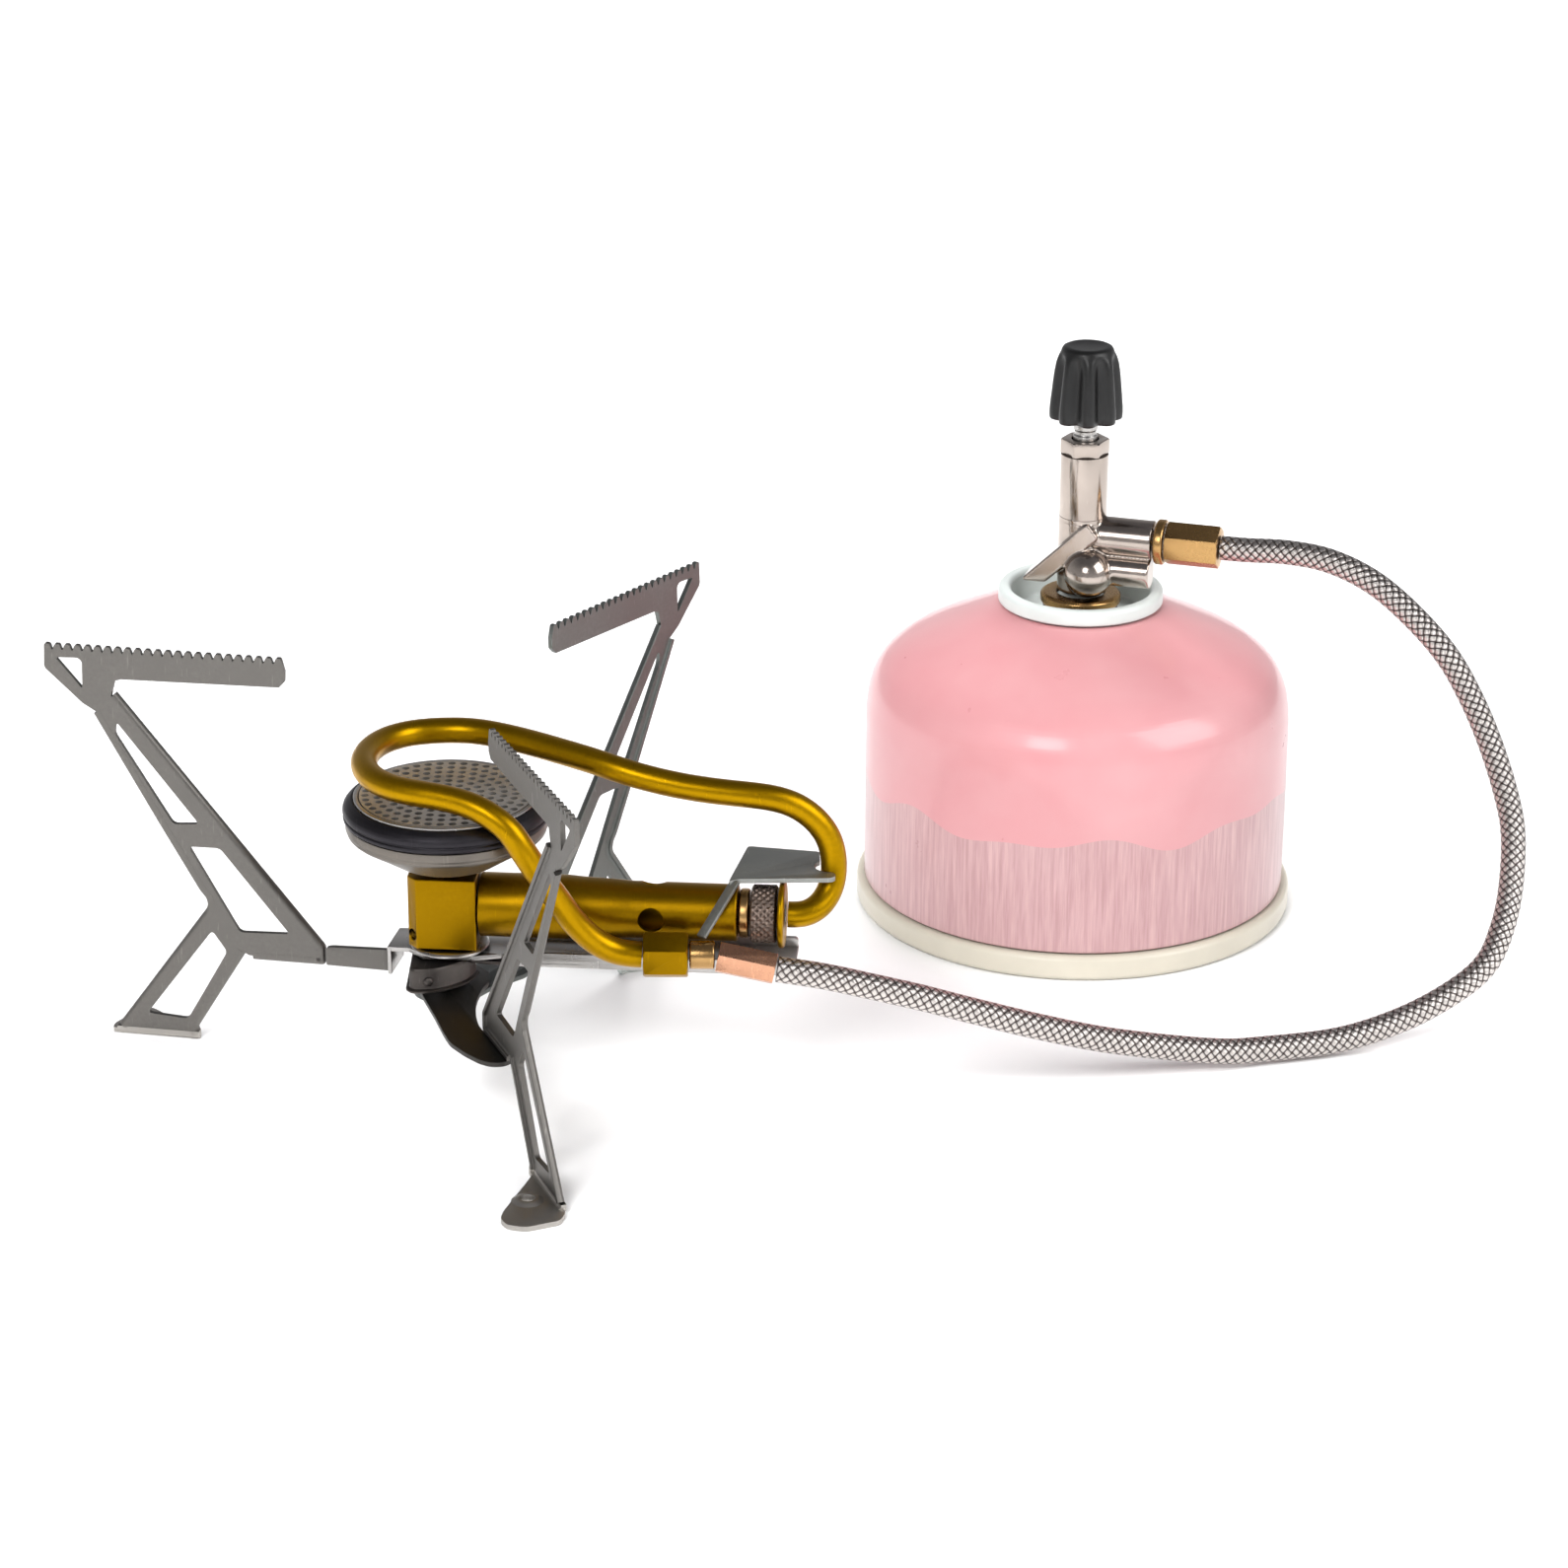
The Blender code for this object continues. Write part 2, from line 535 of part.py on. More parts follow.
# ---------------------------------------------------------------- fuel line on the stove
CONNECTOR_Y = -14.8
CONNECTOR_Z = 29.3
PREHEAT_ROUTE = [
    (36.9, -14.8, 29.3), (33.4, -14.9, 29.6), (29.2, -15.4, 31.4), (24.6, -16.4, 36.2), (21.8, -17.0, 41.0),
    (17.6, -18.4, 47.8), (14.2, -18.6, 53.9), (12.1, -18.0, 56.4), (7.6, -16.6, 59.2), (2.6, -14.6, 60.2),
    (-2.6, -13.1, 60.6), (-8.0, -11.0, 60.7), (-12.2, -7.2, 60.8), (-14.9, -2.0, 61.0), (-15.6, 4.0, 61.2),
    (-13.8, 10.6, 61.3), (-9.8, 15.6, 61.2), (-4.6, 17.8, 61.2), (1.9, 18.3, 61.2), (7.2, 16.8, 61.2),
    (14.1, 13.5, 60.9), (21.3, 8.9, 60.6), (28.4, 4.4, 60.2), (34.3, 1.9, 59.0), (42.9, 0.6, 57.2),
    (52.3, 0.0, 55.95), (61.7, 0.2, 54.95), (67.4, 0.6, 52.2), (71.6, 0.8, 47.4), (72.9, 0.5, 42.0),
    (72.4, -1.0, 37.3), (70.2, -3.4, 34.4), (67.2, -4.95, 33.3), (64.15, -4.95, 33.3),
]


def build_fuel_line():
    tube("preheat_tube", PREHEAT_ROUTE, PREHEAT_R, BRASS, 2, STOVE)
    hexagon = rod_mesh("inlet_connector", 4.6, 8.3, 6)
    hexagon.transform(Matrix.Rotation(math.radians(30), 4, "Z"))
    connector = add("inlet_connector", hexagon, BRASS, STOVE, (37.2, CONNECTOR_Y, CONNECTOR_Z), LAID)
    bevel(connector, 0.3, 1)
    add("inlet_stub", rod_mesh("inlet_stub", 2.65, 4.7, 24), NUT_BRASS, STOVE,
        (45.8, CONNECTOR_Y, CONNECTOR_Z), LAID)
    ferrule = rod_mesh("inlet_ferrule", 3.15, 10.9, 6)
    ferrule.transform(Matrix.Rotation(math.radians(30), 4, "Z"))
    made = add("inlet_ferrule", ferrule, COPPER, STOVE, (51.1, CONNECTOR_Y, CONNECTOR_Z - 0.4), (0, 101, -4))
    bevel(made, 0.3, 1)


def build_bracket():
    top = [
        (53.0, -7.0), (54.8, -5.9), (72.2, -5.3), (73.0, -4.5), (73.0, -3.2), (72.3, -2.5), (71.0, -2.3),
        (69.6, -1.3), (69.0, 0.5), (69.6, 2.3), (70.2, 2.9), (70.1, 7.5), (56.5, 10.1),
    ]
    plate = add("tube_bracket", flat_sheet("tube_bracket", [rounded(top, 0.7, 1)], 40.0, 40.9), STEEL,
                STOVE, smooth=30.0)
    start = Vector((54.3, -5.9, 40.45))
    end = Vector((48.0, -14.6, 32.8))
    along = end - start
    strap = box_mesh("bracket_strap", -0.95, 0.95, -0.4, 0.4, 0.0, along.length)
    side = along.cross(Vector((0, 0, 1))).normalized()
    aim = Matrix((side, along.cross(side).normalized(), along.normalized())).transposed().to_4x4()
    strap.transform(Matrix.Translation(start * MM) @ aim)
    cut(plate, add("bracket_strap", strap, None, STOVE, smooth=None), "UNION")


# ---------------------------------------------------------------- valve
def build_valve():
    body = add("valve_body", rod_mesh("valve_body", 4.9, 15.9, 32, start=67.4), CHROME, CAN)
    barrel = rod_mesh("valve_barrel", 4.15, 15.1, 32)
    barrel.transform(Matrix.Rotation(math.radians(90), 4, "Y"))
    cut(body, add("valve_barrel", barrel, None, OUTLET, smooth=None), "UNION")
    wing = [(2.0, 4.1), (4.4, 1.0), (-6.4, -9.5), (-10.9, -9.5), (-11.2, -8.8)]
    cut(body, add("valve_wing", upright_sheet("valve_wing", [wing], -5.3, 0.4), None, OUTLET, smooth=None), "UNION")
    lobe = bpy.data.meshes.new("valve_lobe")
    bm = bmesh.new()
    bmesh.ops.create_uvsphere(bm, u_segments=16, v_segments=8, radius=4.6 * MM)
    bm.to_mesh(lobe)
    bm.free()
    cut(body, add("valve_lobe", lobe, None, CAN, (1.4, -4.8, 72.0), smooth=None), "UNION")
    boss = rod_mesh("valve_boss", 3.2, 15.0, 24)
    boss.transform(Matrix.Rotation(math.radians(90), 4, "Y"))
    cut(body, add("valve_boss", boss, None, OUTLET, (0.0, -2.2, -6.2), smooth=None), "UNION")
    lathe("valve_collar", [(5.65, 67.1), (7.6, 67.1), (8.2, 66.6), (8.2, 65.2), (7.8, 64.8), (5.65, 64.8)],
          NUT_BRASS, 24, closed=True, parent=CAN)
    lathe("canister_seal", [(5.6, 64.4), (7.6, 64.4), (7.6, 62.6), (5.6, 62.6)], RUBBER, 24, closed=True, parent=CAN)
    lathe("valve_stem_housing", [(2.8, 96.2), (4.6, 96.2), (4.85, 95.9), (4.85, 83.6), (2.8, 83.6)],
          CHROME, 24, closed=True, parent=CAN)
    nut = add("packing_nut", rod_mesh("packing_nut", 4.95, 3.0, 6, start=96.5), CHROME, CAN)
    cut(nut, add("packing_bore", rod_mesh("packing_bore", 2.8, 8.0, 24, start=94.0), None, CAN, smooth=None))
    lathe("valve_spindle",
          [(0, 111.4), (2.45, 111.4), (2.45, 90.6), (1.7, 90.0), (1.7, 86.2), (0.5, 84.0), (0, 84.0)],
          BRIGHT, 24, parent=CAN)
    lathe("barrel_ring", [(2.4, 17.3), (4.3, 17.3), (4.6, 17.0), (4.6, 15.7), (4.3, 15.4), (2.4, 15.4)],
          NUT_BRASS, 24, closed=True, parent=OUTLET, turn=LAID)
    hexagon = rod_mesh("valve_ferrule", 4.5, 10.8, 6)
    hexagon.transform(Matrix.Rotation(math.radians(30), 4, "Z"))
    bevel(add("valve_ferrule", hexagon, NUT_BRASS, OUTLET, (17.6, 0, 0), LAID), 0.3, 1)


def build_knob():
    lobes = []
    for k in range(48):
        angle = 2 * math.pi * k / 48
        radius = 6.55 + 0.45 * math.cos(8 * angle)
        lobes.append((radius * math.cos(angle), radius * math.sin(angle)))
    knob = add("valve_knob", flat_sheet("valve_knob", [lobes], 105.0, 118.9), KNOB, CAN, smooth=40.0)
    bevel(knob, 0.7, 1, 60.0)
    skirt = rod_mesh("knob_skirt", 7.4, 1.9, 32, start=103.6)
    cut(knob, add("knob_skirt", skirt, None, CAN, smooth=None), "UNION")
    cut(knob, add("knob_bore", rod_mesh("knob_bore", 2.75, 12.0, 24, start=99.8), None, CAN, smooth=None))


# ---------------------------------------------------------------- canister
def build_canister():
    dome = [
        (15.4, 64.75), (16.8, 64.6), (20.0, 62.9), (25.0, 60.5), (31.0, 57.7), (36.5, 54.8), (40.4, 51.6),
        (42.6, 47.6), (43.45, 42.4),
    ]
    loop = dome + [(43.45, 5.4), (42.5, 5.4), (42.5, 42.0), (39.4, 50.4), (15.4, 63.7)]
    lathe("canister_body", loop, PINK, 36, closed=True, parent=CAN)
    lathe("canister_base",
          [(0, 7.2), (34.0, 5.6), (41.5, 4.6), (42.0, 5.1), (44.2, 5.1), (44.95, 4.5), (44.95, 0.7), (44.3, 0.0),
           (42.6, 0.0), (41.9, 0.6), (38.5, 3.2), (34.0, 4.4), (0, 6.1)],
          IVORY, 36, parent=CAN)
    lathe("mounting_cup",
          [(0, 66.2), (4.9, 66.2), (5.25, 65.9), (5.25, 62.2), (13.8, 62.0), (14.1, 62.6), (14.1, 67.5), (14.7, 68.3),
           (16.2, 68.3), (16.8, 67.7), (16.8, 65.4), (16.4, 65.1), (15.05, 65.1), (15.05, 61.0), (0, 61.0)],
          CUP, 28, parent=CAN)


# ---------------------------------------------------------------- hose
HOSE_ROUTE = [
    (62.2, -15.6, 26.8), (70.9, -15.7, 25.4), (79.9, -15.2, 23.1), (89.2, -14.2, 20.4), (98.6, -12.6, 17.1),
    (112.6, -10.2, 12.4), (126.8, -7.0, 8.1), (145.2, -2.3, 4.0), (155.5, 0.6, 3.05), (171.0, 5.0, 3.1),
    (184.0, 10.2, 5.3), (194.3, 15.2, 9.0), (200.6, 19.6, 12.8), (204.0, 24.4, 18.2), (205.9, 29.0, 24.5),
    (206.7, 34.5, 33.0), (205.8, 39.2, 39.4), (203.0, 45.2, 48.1), (199.2, 50.4, 56.4), (194.5, 54.8, 63.8),
    (187.7, 59.4, 70.6), (180.3, 63.6, 75.9), (172.2, 67.1, 79.0), (164.2, 70.2, 79.75), (156.0, 73.0, 79.3),
    (151.15, 74.52, 79.2),
]


def build_hose():
    points = spline_through(HOSE_ROUTE, 2)
    tube("fuel_hose", points, HOSE_D / 2, BRAID, 2, STOVE)


build_legs()
build_hub()
build_burner()
build_mixing_tube()
build_fuel_line()
build_bracket()
build_valve()
build_knob()
build_canister()
build_hose()
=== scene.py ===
"""Looks of a hose-fed canister stove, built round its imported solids. Shape numbers are millimetres."""

import json
import math

import bmesh
import bpy
from mathutils import Matrix, Vector

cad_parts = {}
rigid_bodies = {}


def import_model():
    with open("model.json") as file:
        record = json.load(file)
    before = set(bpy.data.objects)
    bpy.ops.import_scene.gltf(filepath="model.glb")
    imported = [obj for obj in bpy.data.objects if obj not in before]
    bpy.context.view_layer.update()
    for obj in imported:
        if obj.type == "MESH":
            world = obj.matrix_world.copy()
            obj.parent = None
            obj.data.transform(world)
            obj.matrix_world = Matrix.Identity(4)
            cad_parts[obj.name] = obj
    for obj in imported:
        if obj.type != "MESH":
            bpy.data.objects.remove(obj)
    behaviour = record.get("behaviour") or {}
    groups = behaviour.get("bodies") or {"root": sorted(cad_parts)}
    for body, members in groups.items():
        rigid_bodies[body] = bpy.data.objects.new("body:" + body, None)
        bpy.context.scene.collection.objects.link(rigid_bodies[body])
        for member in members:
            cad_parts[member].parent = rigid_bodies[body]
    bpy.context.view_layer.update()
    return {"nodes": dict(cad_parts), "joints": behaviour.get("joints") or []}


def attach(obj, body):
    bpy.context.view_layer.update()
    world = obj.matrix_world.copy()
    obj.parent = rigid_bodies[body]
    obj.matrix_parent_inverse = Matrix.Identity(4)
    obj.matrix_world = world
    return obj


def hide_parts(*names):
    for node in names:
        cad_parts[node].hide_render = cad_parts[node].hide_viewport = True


for item in list(bpy.data.objects):
    bpy.data.objects.remove(item, do_unlink=True)
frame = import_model()
MM = 0.001
SCENE = bpy.context.scene
JOINTS = {joint["name"]: joint for joint in frame["joints"]}
HUB = Vector(JOINTS["front_leg_fold"]["pos_m"][:2])
CAN = Vector(JOINTS["valve_turn"]["pos_m"][:2])


def shift(x, y, z):
    return Matrix.Translation(Vector((x, y, z)) * MM)


def spin(angle, axis="Z"):
    return Matrix.Rotation(math.radians(angle), 4, axis)


BURNER_ANGLE = -4.5
TUBE_Z = 33.3
OUTLET_ANGLE = -17.0
OUTLET_Z = 79.2
LEG_ANGLE = {"left": 170.0, "front": -68.2, "back": 54.2}
AT_HUB = Matrix.Translation((HUB.x, HUB.y, 0.0))
AT_CAN = Matrix.Translation((CAN.x, CAN.y, 0.0))
LAID = spin(90, "Y")
BURNER_TURN = AT_HUB @ spin(BURNER_ANGLE)
TUBE_LINE = AT_HUB @ shift(0, 0, TUBE_Z) @ spin(BURNER_ANGLE) @ LAID
OUTLET_TURN = shift(0, 0, OUTLET_Z) @ spin(OUTLET_ANGLE)
OUTLET_LINE = AT_CAN @ OUTLET_TURN @ LAID


# -------- camera, light, floor
SENSOR_MM = 36.0
LENS_MM = 101.50008
CAMERA_FROM_HUB = (0.0633, -0.76747, 0.36783)
CAMERA_TILT = 68.0
CAMERA_ROLL = 0.23
FLOOR_DROP = 0.05 * MM


def camera():
    lens = bpy.data.cameras.new("camera")
    lens.sensor_width = SENSOR_MM
    lens.lens = LENS_MM
    lens.clip_start = 0.01
    lens.clip_end = 10.0
    view = bpy.data.objects.new("camera", lens)
    SCENE.collection.objects.link(view)
    at = AT_HUB @ Matrix.Translation(CAMERA_FROM_HUB)
    view.matrix_world = at @ spin(CAMERA_TILT, "X") @ spin(CAMERA_ROLL)
    SCENE.camera = view


def area_light(name, where, aim, size, power, size_y=None):
    lamp = bpy.data.lights.new(name, "AREA")
    lamp.energy = power
    lamp.size = size
    if size_y:
        lamp.shape = "RECTANGLE"
        lamp.size_y = size_y
    made = bpy.data.objects.new(name, lamp)
    SCENE.collection.objects.link(made)
    made.location = where
    made.rotation_mode = "QUATERNION"
    made.rotation_quaternion = (Vector(aim) - Vector(where)).to_track_quat("-Z", "Y")


def studio():
    area_light("key", where=(-0.55, -0.75, 0.95), aim=(0, 0, 0.03), size=0.7, power=15.5)
    area_light("fill", where=(0.95, -0.45, 0.75), aim=(0, 0, 0.03), size=0.8, power=8.0)
    area_light("rim", where=(0.1, 0.95, 0.85), aim=(0, 0, 0.05), size=0.9, power=13.0, size_y=0.4)
    area_light("softbox", where=(-0.25, -0.8, 0.62), aim=(0.02, 0, 0.04), size=0.34, power=2.6)
    for name in ("key", "rim"):
        SCENE.objects[name].visible_glossy = False
    world = bpy.data.worlds.new("studio")
    world.use_nodes = True
    nodes = world.node_tree.nodes
    links = world.node_tree.links
    back = nodes["Background"]
    coord = nodes.new("ShaderNodeTexCoord")
    split = nodes.new("ShaderNodeSeparateXYZ")
    links.new(coord.outputs["Generated"], split.inputs[0])
    ramp = nodes.new("ShaderNodeValToRGB")
    stops = ramp.color_ramp.elements
    stops[0].position = 0.0
    stops[0].color = (0.60, 0.60, 0.61, 1)
    stops[1].position = 0.8
    stops[1].color = (0.16, 0.16, 0.17, 1)
    middle = stops.new(0.32)
    middle.color = (0.42, 0.42, 0.43, 1)
    links.new(split.outputs["Z"], ramp.inputs["Fac"])
    links.new(ramp.outputs["Color"], back.inputs["Color"])
    back.inputs["Strength"].default_value = 0.9
    SCENE.world = world
    SCENE.view_settings.view_transform = "Standard"


def floor():
    mesh = bpy.data.meshes.new("floor")
    bm = bmesh.new()
    bmesh.ops.create_grid(bm, x_segments=1, y_segments=1, size=6.0)
    bm.to_mesh(mesh)
    bm.free()
    made = bpy.data.objects.new("floor", mesh)
    SCENE.collection.objects.link(made)
    made.location.z = -FLOOR_DROP
    mat = bpy.data.materials.new("floor_paper")
    mat.use_nodes = True
    shader = mat.node_tree.nodes["Principled BSDF"]
    shader.inputs["Base Color"].default_value = (0.93, 0.93, 0.93, 1)
    shader.inputs["Roughness"].default_value = 0.9
    shader.inputs["Specular IOR Level"].default_value = 0.1
    mesh.materials.append(mat)


# -------- materials
# Bounds of the painted shade on the legs' arms and of the painted light on the foot pads.
ARM_TOP = 17.72 * MM
ARM_REACH = 39.6 * MM
PAD_TOP = 1.7 * MM
BRAID_BUNDLES = 8.0
BRAID_PITCH = 1.75 * MM
BUNDLE_WIRES = 4
TWO_TONE_Z = 28.4 * MM
TWO_TONE_WAVES = [(7.0, 1.1 * MM), (12.0, 0.8 * MM)]
TWO_TONE_SHARPNESS = 2500.0


def linear(*colour):
    """A colour given in steps of 0 to 255, as linear light."""
    done = []
    for value in colour:
        value /= 255.0
        done.append(value / 12.92 if value <= 0.04045 else ((value + 0.055) / 1.055) ** 2.4)
    return done


class Net:
    """A short way to write a node material."""

    def __init__(self, name):
        self.mat = bpy.data.materials.new(name)
        self.mat.use_nodes = True
        self.tree = self.mat.node_tree
        self.shader = self.tree.nodes["Principled BSDF"]
        coord = self.tree.nodes.new("ShaderNodeTexCoord")
        self.object = coord.outputs["Object"]
        self.uv = coord.outputs["UV"]

    def link(self, source, target):
        self.tree.links.new(source, target)

    def feed(self, value, slot):
        """Fills a slot from another node's output, from a colour or from a number."""
        if hasattr(value, "links"):
            self.link(value, slot)
        elif hasattr(value, "__len__"):
            slot.default_value = (*value, 1)
        else:
            slot.default_value = value

    def split(self, source):
        node = self.tree.nodes.new("ShaderNodeSeparateXYZ")
        self.link(source, node.inputs[0])
        return node.outputs

    def mapped(self, scale, turn=(0, 0, 0), source=None):
        node = self.tree.nodes.new("ShaderNodeMapping")
        node.inputs["Scale"].default_value = scale
        node.inputs["Rotation"].default_value = turn
        self.link(source or self.object, node.inputs["Vector"])
        return node.outputs[0]

    def noise(self, scale, detail, rough=0.55, vector=None):
        node = self.tree.nodes.new("ShaderNodeTexNoise")
        node.inputs["Scale"].default_value = scale
        node.inputs["Detail"].default_value = detail
        node.inputs["Roughness"].default_value = rough
        self.link(vector or self.object, node.inputs["Vector"])
        return node.outputs["Fac"]

    def ramp(self, source, low, high, at):
        node = self.tree.nodes.new("ShaderNodeValToRGB")
        first, last = node.color_ramp.elements
        first.position, last.position = at
        first.color = (*low, 1) if hasattr(low, "__len__") else (low, low, low, 1)
        last.color = (*high, 1) if hasattr(high, "__len__") else (high, high, high, 1)
        self.link(source, node.inputs["Fac"])
        return node.outputs["Color"]

    def math(self, kind, *values):
        node = self.tree.nodes.new("ShaderNodeMath")
        node.operation = kind
        for slot, value in zip(node.inputs, values):
            self.feed(value, slot)
        return node.outputs[0]

    def times(self, one, two):
        return self.math("MULTIPLY", one, two)

    def plus(self, one, two):
        return self.math("ADD", one, two)

    def minus(self, one, two):
        return self.math("SUBTRACT", one, two)

    def mix(self, factor, one, two):
        """Mixes two colours; inputs 6 and 7 are the node's colour ones."""
        node = self.tree.nodes.new("ShaderNodeMix")
        node.data_type = "RGBA"
        self.feed(factor, node.inputs["Factor"])
        self.feed(one, node.inputs[6])
        self.feed(two, node.inputs[7])
        return node.outputs[2]

    def bump(self, height, depth_mm, strength):
        node = self.tree.nodes.new("ShaderNodeBump")
        node.inputs["Distance"].default_value = depth_mm * MM
        node.inputs["Strength"].default_value = strength
        self.link(height, node.inputs["Height"])
        return node.outputs["Normal"]

    # Ambient occlusion, used to paint shade into inside corners.
    def corners(self, distance):
        node = self.tree.nodes.new("ShaderNodeAmbientOcclusion")
        node.inputs["Distance"].default_value = distance
        node.samples = 6
        return node.outputs["AO"]

    def done(self, colour, rough, metallic, normal, coat=0.0, coat_rough=0.1):
        put = self.shader.inputs
        self.link(colour, put["Base Color"])
        self.link(rough, put["Roughness"])
        put["Metallic"].default_value = metallic
        put["Coat Weight"].default_value = coat
        put["Coat Roughness"].default_value = coat_rough
        self.link(normal, put["Normal"])
        return self.mat


def shade(colour, factor):
    return [min(1.0, value * factor) for value in colour]


def metal(name, colour, rough, grain, mottle, corner_shade, spread=0.14, scratch=0.5, bump_mm=0.010, arm_shade=0.0):
    """Worn metal: mottled tone, a grain (sideways, upward), thin scratches and painted shade in inside
    corners.

    The arm shade amount darkens the folding legs' arms near the hub by that much, as painted shade under the
    burner, and lightens the foot pads with painted light.
    """
    net = Net(name)
    colour = linear(*colour)
    across, along = grain
    cloud = net.noise(90.0, 4.0)
    tone = net.ramp(cloud, shade(colour, 1 - mottle), shade(colour, 1 + mottle), (0.3, 0.7))
    fine = net.noise(1.0, 3.0, 0.6, net.mapped((across, across, along)))
    tone = net.mix(net.ramp(fine, 0.0, 1.0, (0.25, 0.75)), shade(colour, 0.88), tone)
    lines = net.noise(1.0, 2.0, 0.5, net.mapped((2600, 140, 260), (0.4, 0.7, 0.9)))
    marks = net.ramp(lines, 0.0, 1.0, (0.66, 0.72))
    tone = net.mix(net.times(marks, scratch), tone, shade(colour, 1.35))
    # Painted shade: ambient occlusion darkens the inside corners.
    corner = net.ramp(net.corners(0.0022), 1.0, 0.0, (0.35, 0.9))
    tone = net.mix(net.times(corner, corner_shade), tone, shade(colour, 0.28))
    # Painted shade on the legs' arms near the hub, under the burner.
    if arm_shade:
        spot = net.split(net.object)
        low = net.math("LESS_THAN", spot["Z"], ARM_TOP)
        from_hub = [net.minus(spot["X"], HUB.x), net.minus(spot["Y"], HUB.y)]
        reach = net.plus(*[net.times(side, side) for side in from_hub])
        inside = net.times(low, net.math("LESS_THAN", reach, ARM_REACH ** 2))
        tone = net.mix(net.times(inside, arm_shade), tone, shade(colour, 0.22))
        # Painted light: the upward-facing foot pads below this height are lightened.
        tone = net.mix(net.math("LESS_THAN", spot["Z"], PAD_TOP), tone, shade(colour, 2.5))
    dull = net.plus(net.times(cloud, spread * 1.3), rough - spread * 0.65)
    dull = net.plus(dull, net.times(fine, spread * 0.8))
    dull = net.minus(dull, net.times(marks, 0.08))
    height = net.minus(fine, net.times(marks, 0.6))
    return net.done(tone, dull, 1.0, net.bump(height, bump_mm, 0.8))


def plastic(name, colour, rough):
    """Moulded plastic or rubber: a slightly cloudy tone and a fine pebbled skin."""
    net = Net(name)
    colour = linear(*colour)
    cloud = net.noise(220.0, 3.0)
    tone = net.ramp(cloud, shade(colour, 0.8), shade(colour, 1.3), (0.3, 0.7))
    dull = net.plus(net.times(cloud, 0.12), rough - 0.06)
    return net.done(tone, dull, 0.0, net.bump(net.noise(3200.0, 2.0), 0.03, 0.7))


def braid():
    """Two sets of wire bundles wound both ways round the hose, each passing over and under the other, with
    painted shade in the crevices where they dip under.
    """
    net = Net("woven_braid")
    place = net.split(net.uv)
    around = net.times(place["X"], BRAID_BUNDLES)
    along = net.times(place["Y"], 1.0 / BRAID_PITCH)
    one = net.plus(around, along)
    two = net.minus(around, along)
    part_one = net.math("FRACT", one)
    part_two = net.math("FRACT", two)
    parity = net.math("PINGPONG", net.plus(net.math("FLOOR", one), net.math("FLOOR", two)), 1.0)

    def hump(value):
        away = net.minus(net.times(value, 2.0), 1.0)
        return net.minus(1.0, net.times(away, away))

    def wires(value):
        turn = net.times(value, 2 * math.pi * BUNDLE_WIRES)
        return net.math("MULTIPLY_ADD", net.math("SINE", turn), 0.5, 0.5)

    height = net.times(net.math("SQRT", hump(part_one)), net.math("SQRT", hump(part_two)))
    strand = net.mix(parity, wires(part_one), wires(part_two))
    lift = net.plus(height, net.times(strand, 0.16))
    side = net.times(hump(net.mix(parity, part_one, part_two)), height)
    # Painted shade: dark where the bundles dip under each other, light steel on their crests.
    tone = net.ramp(side, linear(78, 70, 67), linear(234, 227, 222), (0.12, 0.66))
    tone = net.mix(net.times(strand, 0.30), tone, linear(120, 112, 110))
    dull = net.plus(net.times(net.noise(150.0, 3.0), 0.16), 0.24)
    return net.done(tone, dull, 1.0, net.bump(lift, 0.22, 0.9))


def lacquer():
    """Gloss paint in two tones that meet in a gentle wave, with soft upright streaks in the lower one."""
    net = Net("canister_lacquer")
    offset = net.tree.nodes.new("ShaderNodeVectorMath")
    offset.operation = "SUBTRACT"
    net.link(net.object, offset.inputs[0])
    offset.inputs[1].default_value = (CAN.x, CAN.y, 0.0)
    from_axis = offset.outputs[0]
    spot = net.split(from_axis)
    angle = net.math("ARCTAN2", spot["Y"], spot["X"])
    waves = [net.times(net.math("SINE", net.times(angle, count)), rise) for count, rise in TWO_TONE_WAVES]
    level = net.minus(spot["Z"], net.plus(net.plus(*waves), TWO_TONE_Z))
    above = net.ramp(net.math("MULTIPLY_ADD", level, TWO_TONE_SHARPNESS, 0.5), 0.0, 1.0, (0.49, 0.51))
    streak = net.noise(1.0, 3.0, 0.7, net.mapped((1300, 1300, 60), source=from_axis))
    lower = net.ramp(streak, linear(180, 140, 142), linear(204, 166, 167), (0.35, 0.7))
    upper = net.ramp(net.noise(40.0, 3.0), linear(206, 142, 146), linear(210, 154, 157), (0.3, 0.7))
    dull = net.plus(net.times(net.noise(160.0, 4.0), 0.12), 0.24)
    peel = net.bump(net.noise(700.0, 2.0), 0.012, 0.6)
    return net.done(net.mix(above, lower, upper), dull, 0.0, peel, coat=0.4, coat_rough=0.12)


def paint(name, colour, rough):
    """Plain gloss over metal, with painted shade in its inside corners."""
    net = Net(name)
    colour = linear(*colour)
    tone = net.ramp(net.noise(70.0, 4.0), shade(colour, 0.94), shade(colour, 1.04), (0.3, 0.7))
    # Painted shade: ambient occlusion darkens the inside corners.
    corner = net.ramp(net.corners(0.002), 1.0, 0.0, (0.3, 0.9))
    tone = net.mix(net.times(corner, 0.3), tone, shade(colour, 0.55))
    dull = net.plus(net.times(net.noise(210.0, 3.0), 0.12), rough - 0.06)
    return net.done(tone, dull, 0.0, net.bump(net.noise(900.0, 2.0), 0.01, 0.5), coat=0.2)


